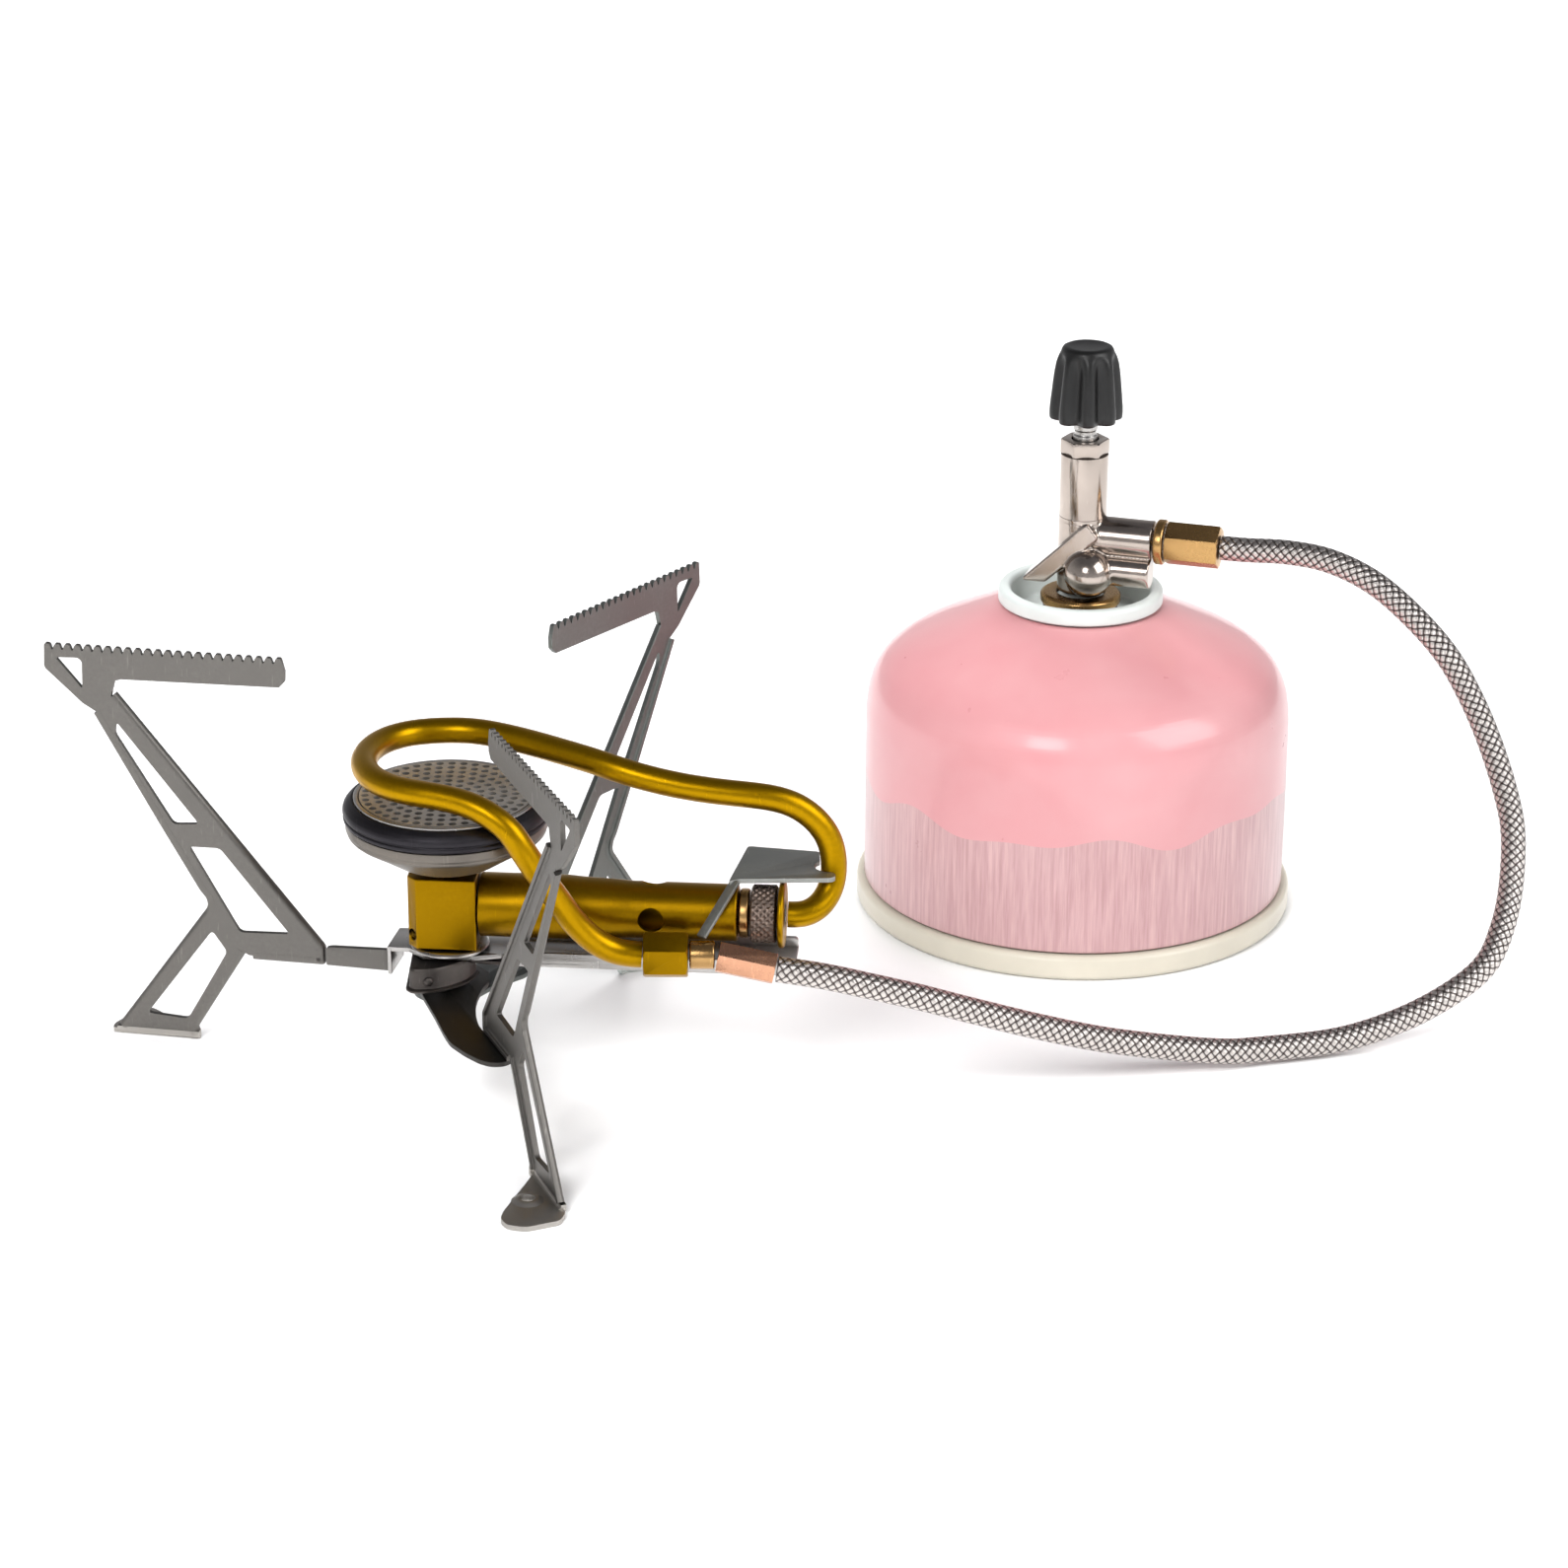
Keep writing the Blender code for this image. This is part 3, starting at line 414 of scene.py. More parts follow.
PRESSED = (1500, 1500)
ROUGH_TURNED = (900, 1500)
FINE_TURNED = (700, 2600)
SPUN = (800, 2600)
MACHINED = (1400, 1400)
POLISHED = (1200, 1200)
PLATED = (500, 500)
# In each metal, the sixth number is how much painted shade darkens its inside corners.
LOOK = {
    "leg_steel": metal("leg_steel_worn", (120, 117, 113), 0.42, PRESSED, 0.12, 0.45, bump_mm=0.012,
                       arm_shade=0.8),
    "back_steel": metal("back_leg_steel_worn", (128, 132, 129), 0.42, PRESSED, 0.12, 0.45, bump_mm=0.012,
                        arm_shade=0.5),
    "hub_steel": metal("hub_steel_worn", (88, 83, 80), 0.38, ROUGH_TURNED, 0.16, 0.5),
    "bracket_steel": metal("bracket_steel_worn", (166, 168, 164), 0.44, PRESSED, 0.14, 0.45),
    "nut_steel": metal("jet_nut_worn", (138, 122, 112), 0.36, ROUGH_TURNED, 0.16, 0.6),
    "bright_steel": metal("bright_steel_worn", (190, 187, 184), 0.26, FINE_TURNED, 0.10, 0.5, spread=0.12),
    "burner_steel": metal("burner_steel_worn", (158, 154, 150), 0.36, SPUN, 0.14, 0.5),
    "bowl_steel": metal("burner_bowl_worn", (124, 118, 111), 0.36, SPUN, 0.14, 0.5),
    "plate_steel": metal("flame_plate_worn", (222, 218, 212), 0.46, SPUN, 0.12, 0.5),
    "dark_band": metal("burner_band_worn", (58, 56, 60), 0.40, FINE_TURNED, 0.18, 0.5),
    "brass": metal("brass_worn", (182, 138, 8), 0.31, MACHINED, 0.12, 0.6, scratch=0.35, bump_mm=0.012),
    # Painted shade: a darker copy of the brass for the parts that sit in shade (block, mixing tube, inlet
    # connector).
    "shaded_brass": metal("block_brass_worn", (156, 117, 8), 0.33, MACHINED, 0.14, 0.6, scratch=0.35,
                         bump_mm=0.012),
    "nut_brass": metal("nut_brass_worn", (192, 152, 98), 0.22, POLISHED, 0.12, 0.55, spread=0.12),
    "copper": metal("copper_worn", (222, 166, 134), 0.24, POLISHED, 0.12, 0.5, spread=0.12),
    "valve_nickel": metal("valve_nickel_worn", (190, 178, 169), 0.14, PLATED, 0.16, 0.6, spread=0.10,
                          scratch=0.25, bump_mm=0.008),
    "knob_black": plastic("knob_black_worn", (11, 11, 11), 0.38),
    "seal_rubber": plastic("seal_rubber_worn", (30, 30, 30), 0.7),
    "hose_braid": braid(),
    "canister_paint": lacquer(),
    "canister_rim": paint("canister_rim_lacquer", (206, 200, 184), 0.32),
    "cup_steel": paint("cup_tinplate", (212, 218, 215), 0.34),
}


# -------- shape helpers
def add(name, mesh, look, body, nodes, place, smooth=32.0, slot=None):
    """Finishes a piece: the mesh is moved into place, shaded and set riding on its body for its nodes."""
    mesh.transform(place)
    mesh.shade_smooth()
    mesh.set_sharp_from_angle(angle=math.radians(smooth))
    made = bpy.data.objects.new(name, mesh)
    SCENE.collection.objects.link(made)
    mesh.materials.clear()
    mesh.materials.append(LOOK[look])
    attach(made, body)
    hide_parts(*nodes)
    return made


def carried(node, look):
    """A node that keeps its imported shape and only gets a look."""
    item = frame["nodes"][node]
    item.data.materials.clear()
    item.data.materials.append(LOOK[look])


def joined(name, meshes):
    """One mesh of several, with its faces turned outward."""
    bm = bmesh.new()
    for mesh in meshes:
        bm.from_mesh(mesh)
    mesh = bpy.data.meshes.new(name)
    bmesh.ops.recalc_face_normals(bm, faces=bm.faces)
    bm.to_mesh(mesh)
    bm.free()
    return mesh


def mesh_of(name, verts, faces):
    raw = bpy.data.meshes.new(name + "_raw")
    raw.from_pydata([Vector(v) * MM for v in verts], [], faces)
    return joined(name, [raw])


def numbered(count, sides):
    """The numbers of count rings of vertices, one ring after another."""
    return [list(range(k * sides, (k + 1) * sides)) for k in range(count)]


def skin(rings):
    """Faces between each ring of vertex numbers and the next; a ring of one number is a tip."""
    faces = []
    for one, two in zip(rings, rings[1:]):
        sides = max(len(one), len(two))
        for k in range(sides):
            n = (k + 1) % sides
            if len(one) == 1:
                faces.append((one[0], two[n], two[k]))
            elif len(two) == 1:
                faces.append((one[k], one[n], two[0]))
            else:
                faces.append((one[k], one[n], two[n], two[k]))
    return faces


def ring_at(radius, height, sides):
    angles = [2 * math.pi * k / sides for k in range(sides)]
    return [(radius * math.cos(angle), radius * math.sin(angle), height) for angle in angles]


def rounded(points, radius, steps=4, closed=True):
    """The chain with each corner replaced by a short arc."""
    done = []
    count = len(points)
    for i, point in enumerate(points):
        if not closed and i in (0, count - 1):
            done.append(tuple(point))
            continue
        here = Vector(point)
        back = Vector(points[i - 1]) - here
        ahead = Vector(points[(i + 1) % count]) - here
        reach = min(radius, 0.45 * back.length, 0.45 * ahead.length)
        one = here + back.normalized() * reach
        two = here + ahead.normalized() * reach
        for k in range(steps + 1):
            t = k / steps
            done.append(tuple(one * (1 - t) ** 2 + here * 2 * t * (1 - t) + two * t ** 2))
    return done


def turned(name, profile, soft, sides, closed=False, steps=3):
    """A lathed part about Z from (radius, z) points; a closed profile has a bore."""
    rings = []
    verts = []
    for radius, height in rounded(profile, soft, steps, closed):
        ring = [(0.0, 0.0, height)] if radius < 1e-6 else ring_at(radius, height, sides)
        rings.append(list(range(len(verts), len(verts) + len(ring))))
        verts += ring
    if closed:
        rings.append(rings[0])
    return mesh_of(name, verts, skin(rings))


def lathe(name, profile, soft, sides, closed, look, node, place=AT_HUB, body="stove", **finish):
    """A turned piece made and finished in one go."""
    add(name, turned(name, profile, soft, sides, closed), look, body, [node], place, **finish)


def sheet(name, outlines, low, high):
    """Flat sheet in XY from closed outlines (first one outside), between two heights."""
    curve = bpy.data.curves.new(name + "_outline", "CURVE")
    curve.dimensions = "2D"
    curve.fill_mode = "BOTH"
    curve.extrude = (high - low) * MM / 2
    for points in outlines:
        spline = curve.splines.new("POLY")
        spline.points.add(len(points) - 1)
        for slot, (x, y) in zip(spline.points, points):
            slot.co = (x * MM, y * MM, 0.0, 1.0)
        spline.use_cyclic_u = True
    holder = bpy.data.objects.new(name + "_outline", curve)
    SCENE.collection.objects.link(holder)
    bpy.context.view_layer.update()
    graph = bpy.context.evaluated_depsgraph_get()
    mesh = bpy.data.meshes.new_from_object(holder.evaluated_get(graph))
    bm = bmesh.new()
    bm.from_mesh(mesh)
    bmesh.ops.remove_doubles(bm, verts=bm.verts, dist=0.000001)
    bmesh.ops.recalc_face_normals(bm, faces=bm.faces)
    bm.to_mesh(mesh)
    bm.free()
    bpy.data.objects.remove(holder, do_unlink=True)
    bpy.data.curves.remove(curve)
    mesh.transform(shift(0, 0, (low + high) / 2))
    return mesh


def upright(name, outlines, near, far):
    """A sheet standing in the XZ plane between two sideways (Y) positions, the lesser one first."""
    mesh = sheet(name, outlines, 0.0, far - near)
    mesh.transform(shift(0, 0, -(far - near) / 2))
    mesh.transform(spin(90, "X"))
    mesh.transform(shift(0, (near + far) / 2, 0))
    return mesh


def circle(x, y, radius, sides=24):
    return [(x + across, y + up) for across, up, _ in ring_at(radius, 0.0, sides)]


def offset_chain(points, distance):
    """Points moved to the left of their travel direction by distance."""
    moved = []
    for i, point in enumerate(points):
        here = Vector(point)
        before = here - Vector(points[i - 1]) if i else None
        after = Vector(points[i + 1]) - here if i + 1 < len(points) else None
        normals = [Vector((-d.y, d.x)).normalized() for d in (before, after) if d is not None]
        mean = sum(normals, Vector((0.0, 0.0))).normalized()
        scale = 1.0 / max(0.5, mean.dot(normals[0]))
        moved.append(tuple(here + mean * distance * scale))
    return moved


def folded_edge(name, chain, section, laid=False):
    """A pressed edge: section points (inset from the chain, sideways) carried along a chain of (x, z).

    A laid edge follows a chain of (x, y), and its sideways is up.
    """
    paths = [offset_chain(chain, inset) for inset, side in section]
    verts = []
    for k in range(len(chain)):
        for path, (inset, side) in zip(paths, section):
            x, y = path[k]
            verts.append((x, y, side) if laid else (x, side, y))
    rings = numbered(len(chain), len(section))
    return mesh_of(name, verts, skin(rings) + [tuple(rings[0]), tuple(rings[-1][::-1])])


def spline_through(points, pieces):
    """Catmull-Rom points through a given route."""
    route = [Vector(p) for p in points]
    route = [route[0] * 2 - route[1]] + route + [route[-1] * 2 - route[-2]]
    done = []
    for i in range(1, len(route) - 2):
        a, b, c, d = route[i - 1:i + 3]
        for k in range(pieces):
            t = k / pieces
            done.append(
                0.5 * (2 * b + (c - a) * t + (2 * a - 5 * b + 4 * c - d) * t * t
                       + (3 * b - a - 3 * c + d) * t ** 3)
            )
    done.append(route[-2])
    return done


def tube(name, route, radius, sides):
    """A round tube along a route with caps; U goes round it and V is its length in metres."""
    tangents = []
    for i in range(len(route)):
        tangents.append((route[min(i + 1, len(route) - 1)] - route[max(i - 1, 0)]).normalized())
    side = tangents[0].cross(Vector((0, 0, 1))).normalized()
    bm = bmesh.new()
    layer = bm.loops.layers.uv.new("UVMap")
    rings = []
    lengths = [0.0]
    for i, point in enumerate(route):
        if i:
            lengths.append(lengths[-1] + (point - route[i - 1]).length * MM)
        side = (side - tangents[i] * side.dot(tangents[i])).normalized()
        up = tangents[i].cross(side)
        ring = []
        for k in range(sides):
            angle = 2 * math.pi * k / sides
            out = side * math.cos(angle) + up * math.sin(angle)
            ring.append(bm.verts.new((point + out * radius) * MM))
        rings.append(ring)
    for i in range(len(rings) - 1):
        for k in range(sides):
            n = (k + 1) % sides
            face = bm.faces.new((rings[i][k], rings[i][n], rings[i + 1][n], rings[i + 1][k]))
            spots = ((k, i), (k + 1, i), (k + 1, i + 1), (k, i + 1))
            for loop, (a, b) in zip(face.loops, spots):
                loop[layer].uv = (a / sides, lengths[b])
    bm.faces.new(rings[0][::-1])
    bm.faces.new(rings[-1])
    mesh = bpy.data.meshes.new(name)
    bmesh.ops.recalc_face_normals(bm, faces=bm.faces)
    bm.to_mesh(mesh)
    bm.free()
    return mesh


def modified(mesh, changes):
    """The mesh after modifiers set up by changes(object), which may return tool objects to clear away."""
    holder = bpy.data.objects.new(mesh.name + "_holder", mesh)
    SCENE.collection.objects.link(holder)
    tools = changes(holder) or []
    bpy.context.view_layer.update()
    graph = bpy.context.evaluated_depsgraph_get()
    made = bpy.data.meshes.new_from_object(holder.evaluated_get(graph))
    bpy.data.objects.remove(holder, do_unlink=True)
    for tool in tools:
        bpy.data.objects.remove(tool, do_unlink=True)
    return made


def bevelled(mesh, width, segments=2, angle=50.0):
    def changes(item):
        edge = item.modifiers.new("edge", "BEVEL")
        edge.width = width * MM
        edge.segments = segments
        edge.limit_method = "ANGLE"
        edge.angle_limit = math.radians(angle)
    return modified(mesh, changes)


def combined(mesh, others, operation):
    def changes(item):
        tools = []
        for other in others:
            tool = bpy.data.objects.new(mesh.name + "_tool", other)
            SCENE.collection.objects.link(tool)
            step = item.modifiers.new("step", "BOOLEAN")
            step.operation = operation
            step.object = tool
            step.solver = "EXACT"
            tools.append(tool)
        return tools
    return modified(mesh, changes)


def rod(name, radius, length, sides=64, start=0.0):
    mesh = bpy.data.meshes.new(name)
    bm = bmesh.new()
    bmesh.ops.create_cone(
        bm, cap_ends=True, segments=sides, radius1=radius * MM, radius2=radius * MM, depth=length * MM,
        matrix=shift(0, 0, start + length / 2),
    )
    bm.to_mesh(mesh)
    bm.free()
    return mesh


CHAMFER_SLOPE = 0.62
CUT_SLACK = 0.01


def hexagon(name, radius, length, start, chamfer, bore=0.0):
    """A hexagonal fitting along Z whose ends are turned to a chamfer, with a hole through it if asked."""
    body = rod(name, radius, length, 6, start)
    body.transform(spin(30))
    end = start + length
    rise = chamfer * CHAMFER_SLOPE
    wide = radius + 2 * CUT_SLACK
    profile = [
        (0, start - CUT_SLACK), (radius - chamfer, start - CUT_SLACK), (wide, start + rise),
        (wide, end - rise), (radius - chamfer, end + CUT_SLACK), (0, end + CUT_SLACK),
    ]
    turning = turned(name + "_turning", profile, 0.01, 72, steps=1)
    body = combined(body, [turning], "INTERSECT")
    if bore:
        body = combined(body, [rod(name + "_bore", bore, length + 4, 48, start - 2)], "DIFFERENCE")
    return bevelled(body, 0.12, 2, 25.0)


# -------- hose
HOSE_D = 5.0
HOSE_SLACK = 0.03
HOSE_ROUTE = [
    (62.2, -15.6, 26.8), (70.9, -15.7, 25.4), (79.9, -15.2, 23.1), (89.2, -14.2, 20.4), (98.6, -12.6, 17.1),
    (112.6, -10.2, 12.4), (126.8, -7.0, 8.1), (145.2, -2.3, 4.0), (155.5, 0.6, 3.05), (171.0, 5.0, 3.1),
    (184.0, 10.2, 5.3), (194.3, 15.2, 9.0), (200.6, 19.6, 12.8), (204.0, 24.4, 18.2), (205.9, 29.0, 24.5),
    (206.7, 34.5, 33.0), (205.8, 39.2, 39.4), (203.0, 45.2, 48.1), (199.2, 50.4, 56.4), (194.5, 54.8, 63.8),
    (187.7, 59.4, 70.6), (180.3, 63.6, 75.9), (172.2, 67.1, 79.0), (164.2, 70.2, 79.75), (156.0, 73.0, 79.3),
    (151.15, 74.52, 79.2),
]


def hose():
    fine = spline_through(HOSE_ROUTE, 18)
    mesh = tube("fuel_hose_braid", fine, HOSE_D / 2 - HOSE_SLACK, 32)
    made = add("fuel_hose_braid", mesh, "hose_braid", "stove", ["fuel_hose"], AT_HUB, 60.0)


# -------- legs
BAR_INNER_R = 30.6
BAR_OUTER_R = 77.6
CREST_Z = 80.2
TEETH = 24
RIM_INSET = 1.1
BEND_OUTER_R = 0.95
BEND_INNER_R = 0.4
LEG_FACES = (-1.3, -0.3)
PIVOT_HOLE_R = 2.35
PAD_HOLE = (61.8, -5.8)
INNER_RIM = [(63.9, 70.9), (25.3, 22.2), (24.9, 21.6), (24.9, 17.8), (39.2, 17.8)]
FOOT_RIM = [(40.7, 19.2), (51.1, 2.4), (50.7, 1.6), (50.7, 0.5)]
OUTER_RIM = [
    (66.9, 2.2), (48.3, 27.8), (48.0, 28.6), (48.2, 29.9), (49.4, 31.4), (57.2, 45.4), (64.8, 59.4),
    (68.6, 66.4),
]
FOOT_RIM_LOW = [(50.8, 0.04), (67.2, 0.04)]
FOOT_PAD = [
    (51.6, -1.2), (53.6, -2.6), (64.2, -11.2), (66.7, -12.6), (69.4, -12.3),
    (71.5, -9.4), (71.3, -2.8), (68.6, -0.9),
]
LEFT_PAD = [
    (51.6, -1.2), (53.6, -2.6), (61.6, -9.8), (63.4, -11.0), (65.0, -10.6), (66.6, -8.2),
    (68.6, -2.8), (68.4, -0.9),
]
ARM_END = [(39.1, -2.4), (38.4, -0.6), (25.3, -0.6), (25.0, -1.7), (22.2, -1.75), (18.4, -1.0)]
ARM_INNER = [(13.5, 0.5), (10.4, 1.9), (6.5, 4.2), (4.4, 6.2), (0.0, 7.6), (-4.4, 6.2), (-7.0, 3.0)]
ARM_HUB = [(-7.6, 0.0), (-6.6, -3.8), (-3.6, -7.0)]
FRONT_ARM = [
    (3.6, -7.3), (9.5, -7.7), (15.4, -8.1), (22.8, -8.8), (27.3, -9.0), (32.4, -7.8), (36.5, -6.2),
    (38.5, -4.6),
]
BACK_ARM = [
    (3.6, -6.9), (9.8, -7.9), (11.6, -8.4), (15.2, -7.9), (20.1, -6.6), (28.0, -6.2), (36.5, -5.6),
    (38.5, -4.4),
]


def bend(depth):
    """Section of a pressed edge: (inset, sideways) from the plate's face round to a flange."""
    front = []
    for angle in range(0, 91, 15):
        turn = math.radians(angle)
        front.append((1.0 - BEND_OUTER_R * math.sin(turn), -1.23 + BEND_OUTER_R * math.cos(turn)))
    lip = [(0.05, depth + 0.12), (0.17, depth), (0.88, depth), (1.0, depth + 0.12)]
    inside = []
    for angle in range(0, 91, 30):
        turn = math.radians(angle)
        inside.append((1.4 - BEND_INNER_R * math.cos(turn), -1.72 + BEND_INNER_R * math.sin(turn)))
    return [(1.7, -0.28)] + front + lip + inside + [(1.7, -1.32)]


def teeth():
    """The pot support's teeth from its outer end inward; a tooth is (share of the pitch, drop) pairs."""
    pitch = (BAR_OUTER_R - BAR_INNER_R) / TEETH
    crest = [(0.12, 0.28), (0.22, 0.04), (0.30, 0.0), (0.52, 0.0), (0.60, 0.04), (0.70, 0.28)]
    gap = [(0.84, 1.06), (0.91, 1.15), (0.98, 1.06)]
    row = []
    for k in range(TEETH):
        start = BAR_OUTER_R - k * pitch
        points = crest + gap if k < TEETH - 1 else crest
        row += [(start - share * pitch, CREST_Z - drop) for share, drop in points]
    return row


def leg_plate(name):
    """The flat of a leg's upper part, with its teeth and windows."""
    inner, foot, outer = [offset_chain(rim, RIM_INSET) for rim in (INNER_RIM, FOOT_RIM, OUTER_RIM)]
    outline = [(30.6, 77.6), (30.7, 75.6), (31.8, 74.4), (62.6, 73.9), (63.9, 73.5), (64.5, 71.4)] + inner
    outline += [(39.9, 18.9)] + foot[:-1] + [(51.8, 1.1), (66.0, 1.1)] + outer
    outline += [(70.4, 68.6), (77.4, 75.2), (77.6, 75.8)] + teeth()
    windows = [
        rounded([(75.3, 77.5), (70.9, 77.7), (70.1, 77.0), (70.3, 71.5)], 0.6),
        rounded([(64.0, 65.3), (48.7, 45.5), (53.8, 45.1), (64.5, 62.9)], 0.9),
        rounded([(51.0, 40.7), (44.8, 40.8), (31.7, 24.0), (41.6, 23.6)], 0.9),
        rounded([(47.1, 23.5), (44.3, 19.3), (52.8, 4.4), (60.9, 5.0)], 0.9),
    ]
    return bevelled(upright(name + "_plate", [outline] + windows, *LEG_FACES), 0.11, 1)


def leg_pad(name, outline):
    """The foot pad and the raised edge of its hole."""
    pad = bevelled(sheet(name + "_pad", [rounded(outline, 1.0), circle(*PAD_HOLE, 1.25)], 0.0, 1.0), 0.16)
    edge = turned(name + "_dimple", [(1.2, 0.95), (1.3, 1.55), (2.0, 1.45), (3.0, 0.95)], 0.25, 40)
    edge.transform(shift(*PAD_HOLE, 0))
    return [pad, edge]


def leg_arm(name, low, edge):
    """A folding leg's arm about the pivot, and the riser from it to the leg's plate."""
    holes = [circle(0, 0, PIVOT_HOLE_R, 32)]
    if edge is BACK_ARM:
        holes.append(circle(15.6, -5.6, 0.85))
    outline = rounded(ARM_HUB + edge + ARM_END + ARM_INNER, 1.2)
    arm = bevelled(sheet(name + "_arm", [outline] + holes, low, low + 0.9), 0.15)
    foot = low + 0.35
    riser = [(25.2, foot), (38.3, foot), (38.3, 18.35), (25.2, 18.35)]
    return [arm, upright(name + "_riser", [riser], -1.2, -0.7)]


def leg(name, body, angle, look, pad_outline, arm_low=None, arm_edge=None):
    parts = [leg_plate(name)] + leg_pad(name, pad_outline) + [
        folded_edge(name + "_inner", rounded(INNER_RIM, 0.8, 4, False), bend(-1.9)),
        folded_edge(name + "_foot", rounded(FOOT_RIM, 0.6, 3, False), bend(-1.9)),
        folded_edge(name + "_outer", rounded(OUTER_RIM, 0.6, 3, False), bend(-1.85)),
        folded_edge(name + "_sole", FOOT_RIM_LOW, bend(-1.85)),
    ]
    if arm_edge:
        parts += leg_arm(name, arm_low, arm_edge)
    whole = joined(name + "_sheet", parts)
    add(name + "_sheet", whole, look, body, [name], AT_HUB @ spin(angle), 28.0, "leg_steel")


def legs():
    leg("left_leg", "stove", LEG_ANGLE["left"], "leg_steel", LEFT_PAD)
    leg("front_leg", "front_leg", LEG_ANGLE["front"], "leg_steel", FOOT_PAD, 16.75, FRONT_ARM)
    leg("back_leg", "back_leg", LEG_ANGLE["back"], "back_steel", FOOT_PAD, 15.45, BACK_ARM)
    outline = [(12.1, 18.0), (24.6, 18.2), (24.6, 21.7), (23.6, 22.0), (12.1, 22.3)]
    arm = bevelled(upright("left_arm", [rounded(outline, 0.4)], -1.3, -0.2), 0.18)
    add("left_leg_arm_sheet", arm, "leg_steel", "stove", ["left_leg_arm"], AT_HUB @ spin(LEG_ANGLE["left"]))


# -------- hub
CUP_EDGE = [
    (-8.0, 7.6), (-8.0, -7.9), (-6.7, -9.2), (-4.6, -9.2), (-1.8, -8.7), (1.7, -6.5), (4.2, -3.7),
    (5.4, 0.2),
]
CUP_SECTION = [
    (1.0, 23.1), (0.86, 22.95), (0.74, 22.6), (0.7, 22.2), (0.7, 19.5), (0.55, 19.15), (0.2, 19.0),
    (0.0, 18.85), (0.0, 18.55), (0.15, 18.4), (0.9, 18.4), (1.4, 18.8), (1.55, 19.4), (1.55, 22.3),
    (2.2, 22.3), (2.2, 23.1),
]
CUP_BACK = [(5.4, 4.0), (3.0, 6.8), (-1.0, 8.4), (-6.0, 8.4)]
CUP_EAR = [(3.4, -3.2), (8.0, -4.2), (11.6, -4.4), (12.4, -3.4), (12.4, 3.0), (3.4, 3.0)]
RAIL_HUB_END = [
    (12.0, 6.2), (4.0, 7.0), (-4.0, 8.0), (-11.0, 7.6), (-11.9, -1.5), (-7.6, -1.6), (-4.6, -4.6),
    (5.4, -4.4), (10.2, -3.0), (12.8, -6.2),
]


def hub_cup():
    edge = rounded(CUP_EDGE, 2.2, 5, False)
    skirt = folded_edge("cup_skirt", edge, CUP_SECTION, laid=True)
    tray = sheet("cup_tray", [offset_chain(edge, 1.2) + CUP_BACK, circle(0, 0, 2.4, 32)], 22.22, 23.08)
    ear = bevelled(sheet("cup_ear", [rounded(CUP_EAR, 1.2), circle(9.4, -2.3, 0.8)], 22.25, 22.95), 0.12)
    dimple = turned("cup_dimple", [(0, 0.35), (0.5, 0.3), (0.9, 0.0), (0.9, -0.4), (0, -0.4)], 0.15, 24)
    dimple.transform(shift(-3.6, -8.6, 20.6) @ spin(10) @ spin(90, "X"))
    whole = joined("hub_cup_pressing", [skirt, tray, ear, dimple])
    add("hub_cup_pressing", whole, "hub_steel", "stove", ["hub_cup"], AT_HUB)


def base_rail():
    plate = [(66.0, -6.2), (66.0, 6.2)] + RAIL_HUB_END
    floor_plate = bevelled(sheet("rail_floor", [plate, circle(0, 0, PIVOT_HOLE_R, 32)], 23.4, 24.3), 0.15)
    fold = [(-11.9, -1.5), (-11.0, 7.6), (-10.2, 7.52), (-11.1, -1.58)]
    folded = bevelled(sheet("rail_end", [fold], 18.6, 24.28), 0.2, 3)
    side = rounded([(13.0, 23.5), (65.9, 23.5), (65.9, 26.2), (15.4, 26.2), (13.0, 25.2)], 0.8)
    walls = [bevelled(upright("rail_wall", [side], near, near + 0.78), 0.15) for near in (-6.18, 5.4)]
    whole = joined("base_rail_pressing", [floor_plate, folded] + walls)
    add("base_rail_pressing", whole, "bright_steel", "stove", ["base_rail"], BURNER_TURN)


def hub():
    hub_cup()
    base_rail()
    lathe("hub_washer_ring",
          [(2.4, 25.6), (7.0, 25.6), (7.5, 25.2), (7.5, 24.9), (7.2, 24.6), (2.4, 24.6)],
          0.15, 96, True, "bright_steel", "hub_washer")
    lathe("pivot_bolt_turned",
          [(0, 25.5), (2.0, 25.5), (2.0, 15.1), (4.4, 15.1), (4.4, 14.6), (3.6, 13.9), (0, 13.8)],
          0.2, 72, False, "hub_steel", "pivot_bolt")
    carried("pivot_spacer", "hub_steel")


# -------- burner
PLATE_HOLE_R = 0.74
PLATE_RINGS = 7
PLATE_RING_STEP = 2.17
TUBE_HOLE_AT = 38.9
TUBE_HOLE_R = 2.45
KNURL_TEETH = 24
KNURL_SIDES = 144
KNURL_R = 5.38
KNURL_DEPTH = 0.16
KNURL_LEAD = 1.45
KNURL_LOW = 57.85
KNURL_LENGTH = 4.2
KNURL_STEPS = 24


def burner_block():
    outline = [(-5.4, -5.7), (5.9, -5.7), (5.9, 5.7), (-5.4, 5.7), (-7.3, 3.7), (-7.3, -3.7)]
    block = sheet("block", [outline], 25.9, 40.2)
    hole = rod("screw_hole", 0.95, 5.0, 32, -2.4)
    hole.transform(shift(-6.35, -4.7, 28.4) @ spin(-133.5) @ LAID)
    block = bevelled(combined(block, [hole], "DIFFERENCE"), 0.32, 3, 30.0)
    add("burner_block_cast", block, "shaded_brass", "stove", ["burner_block"], BURNER_TURN, slot="brass")
    carried("block_set_screw", "hub_steel")


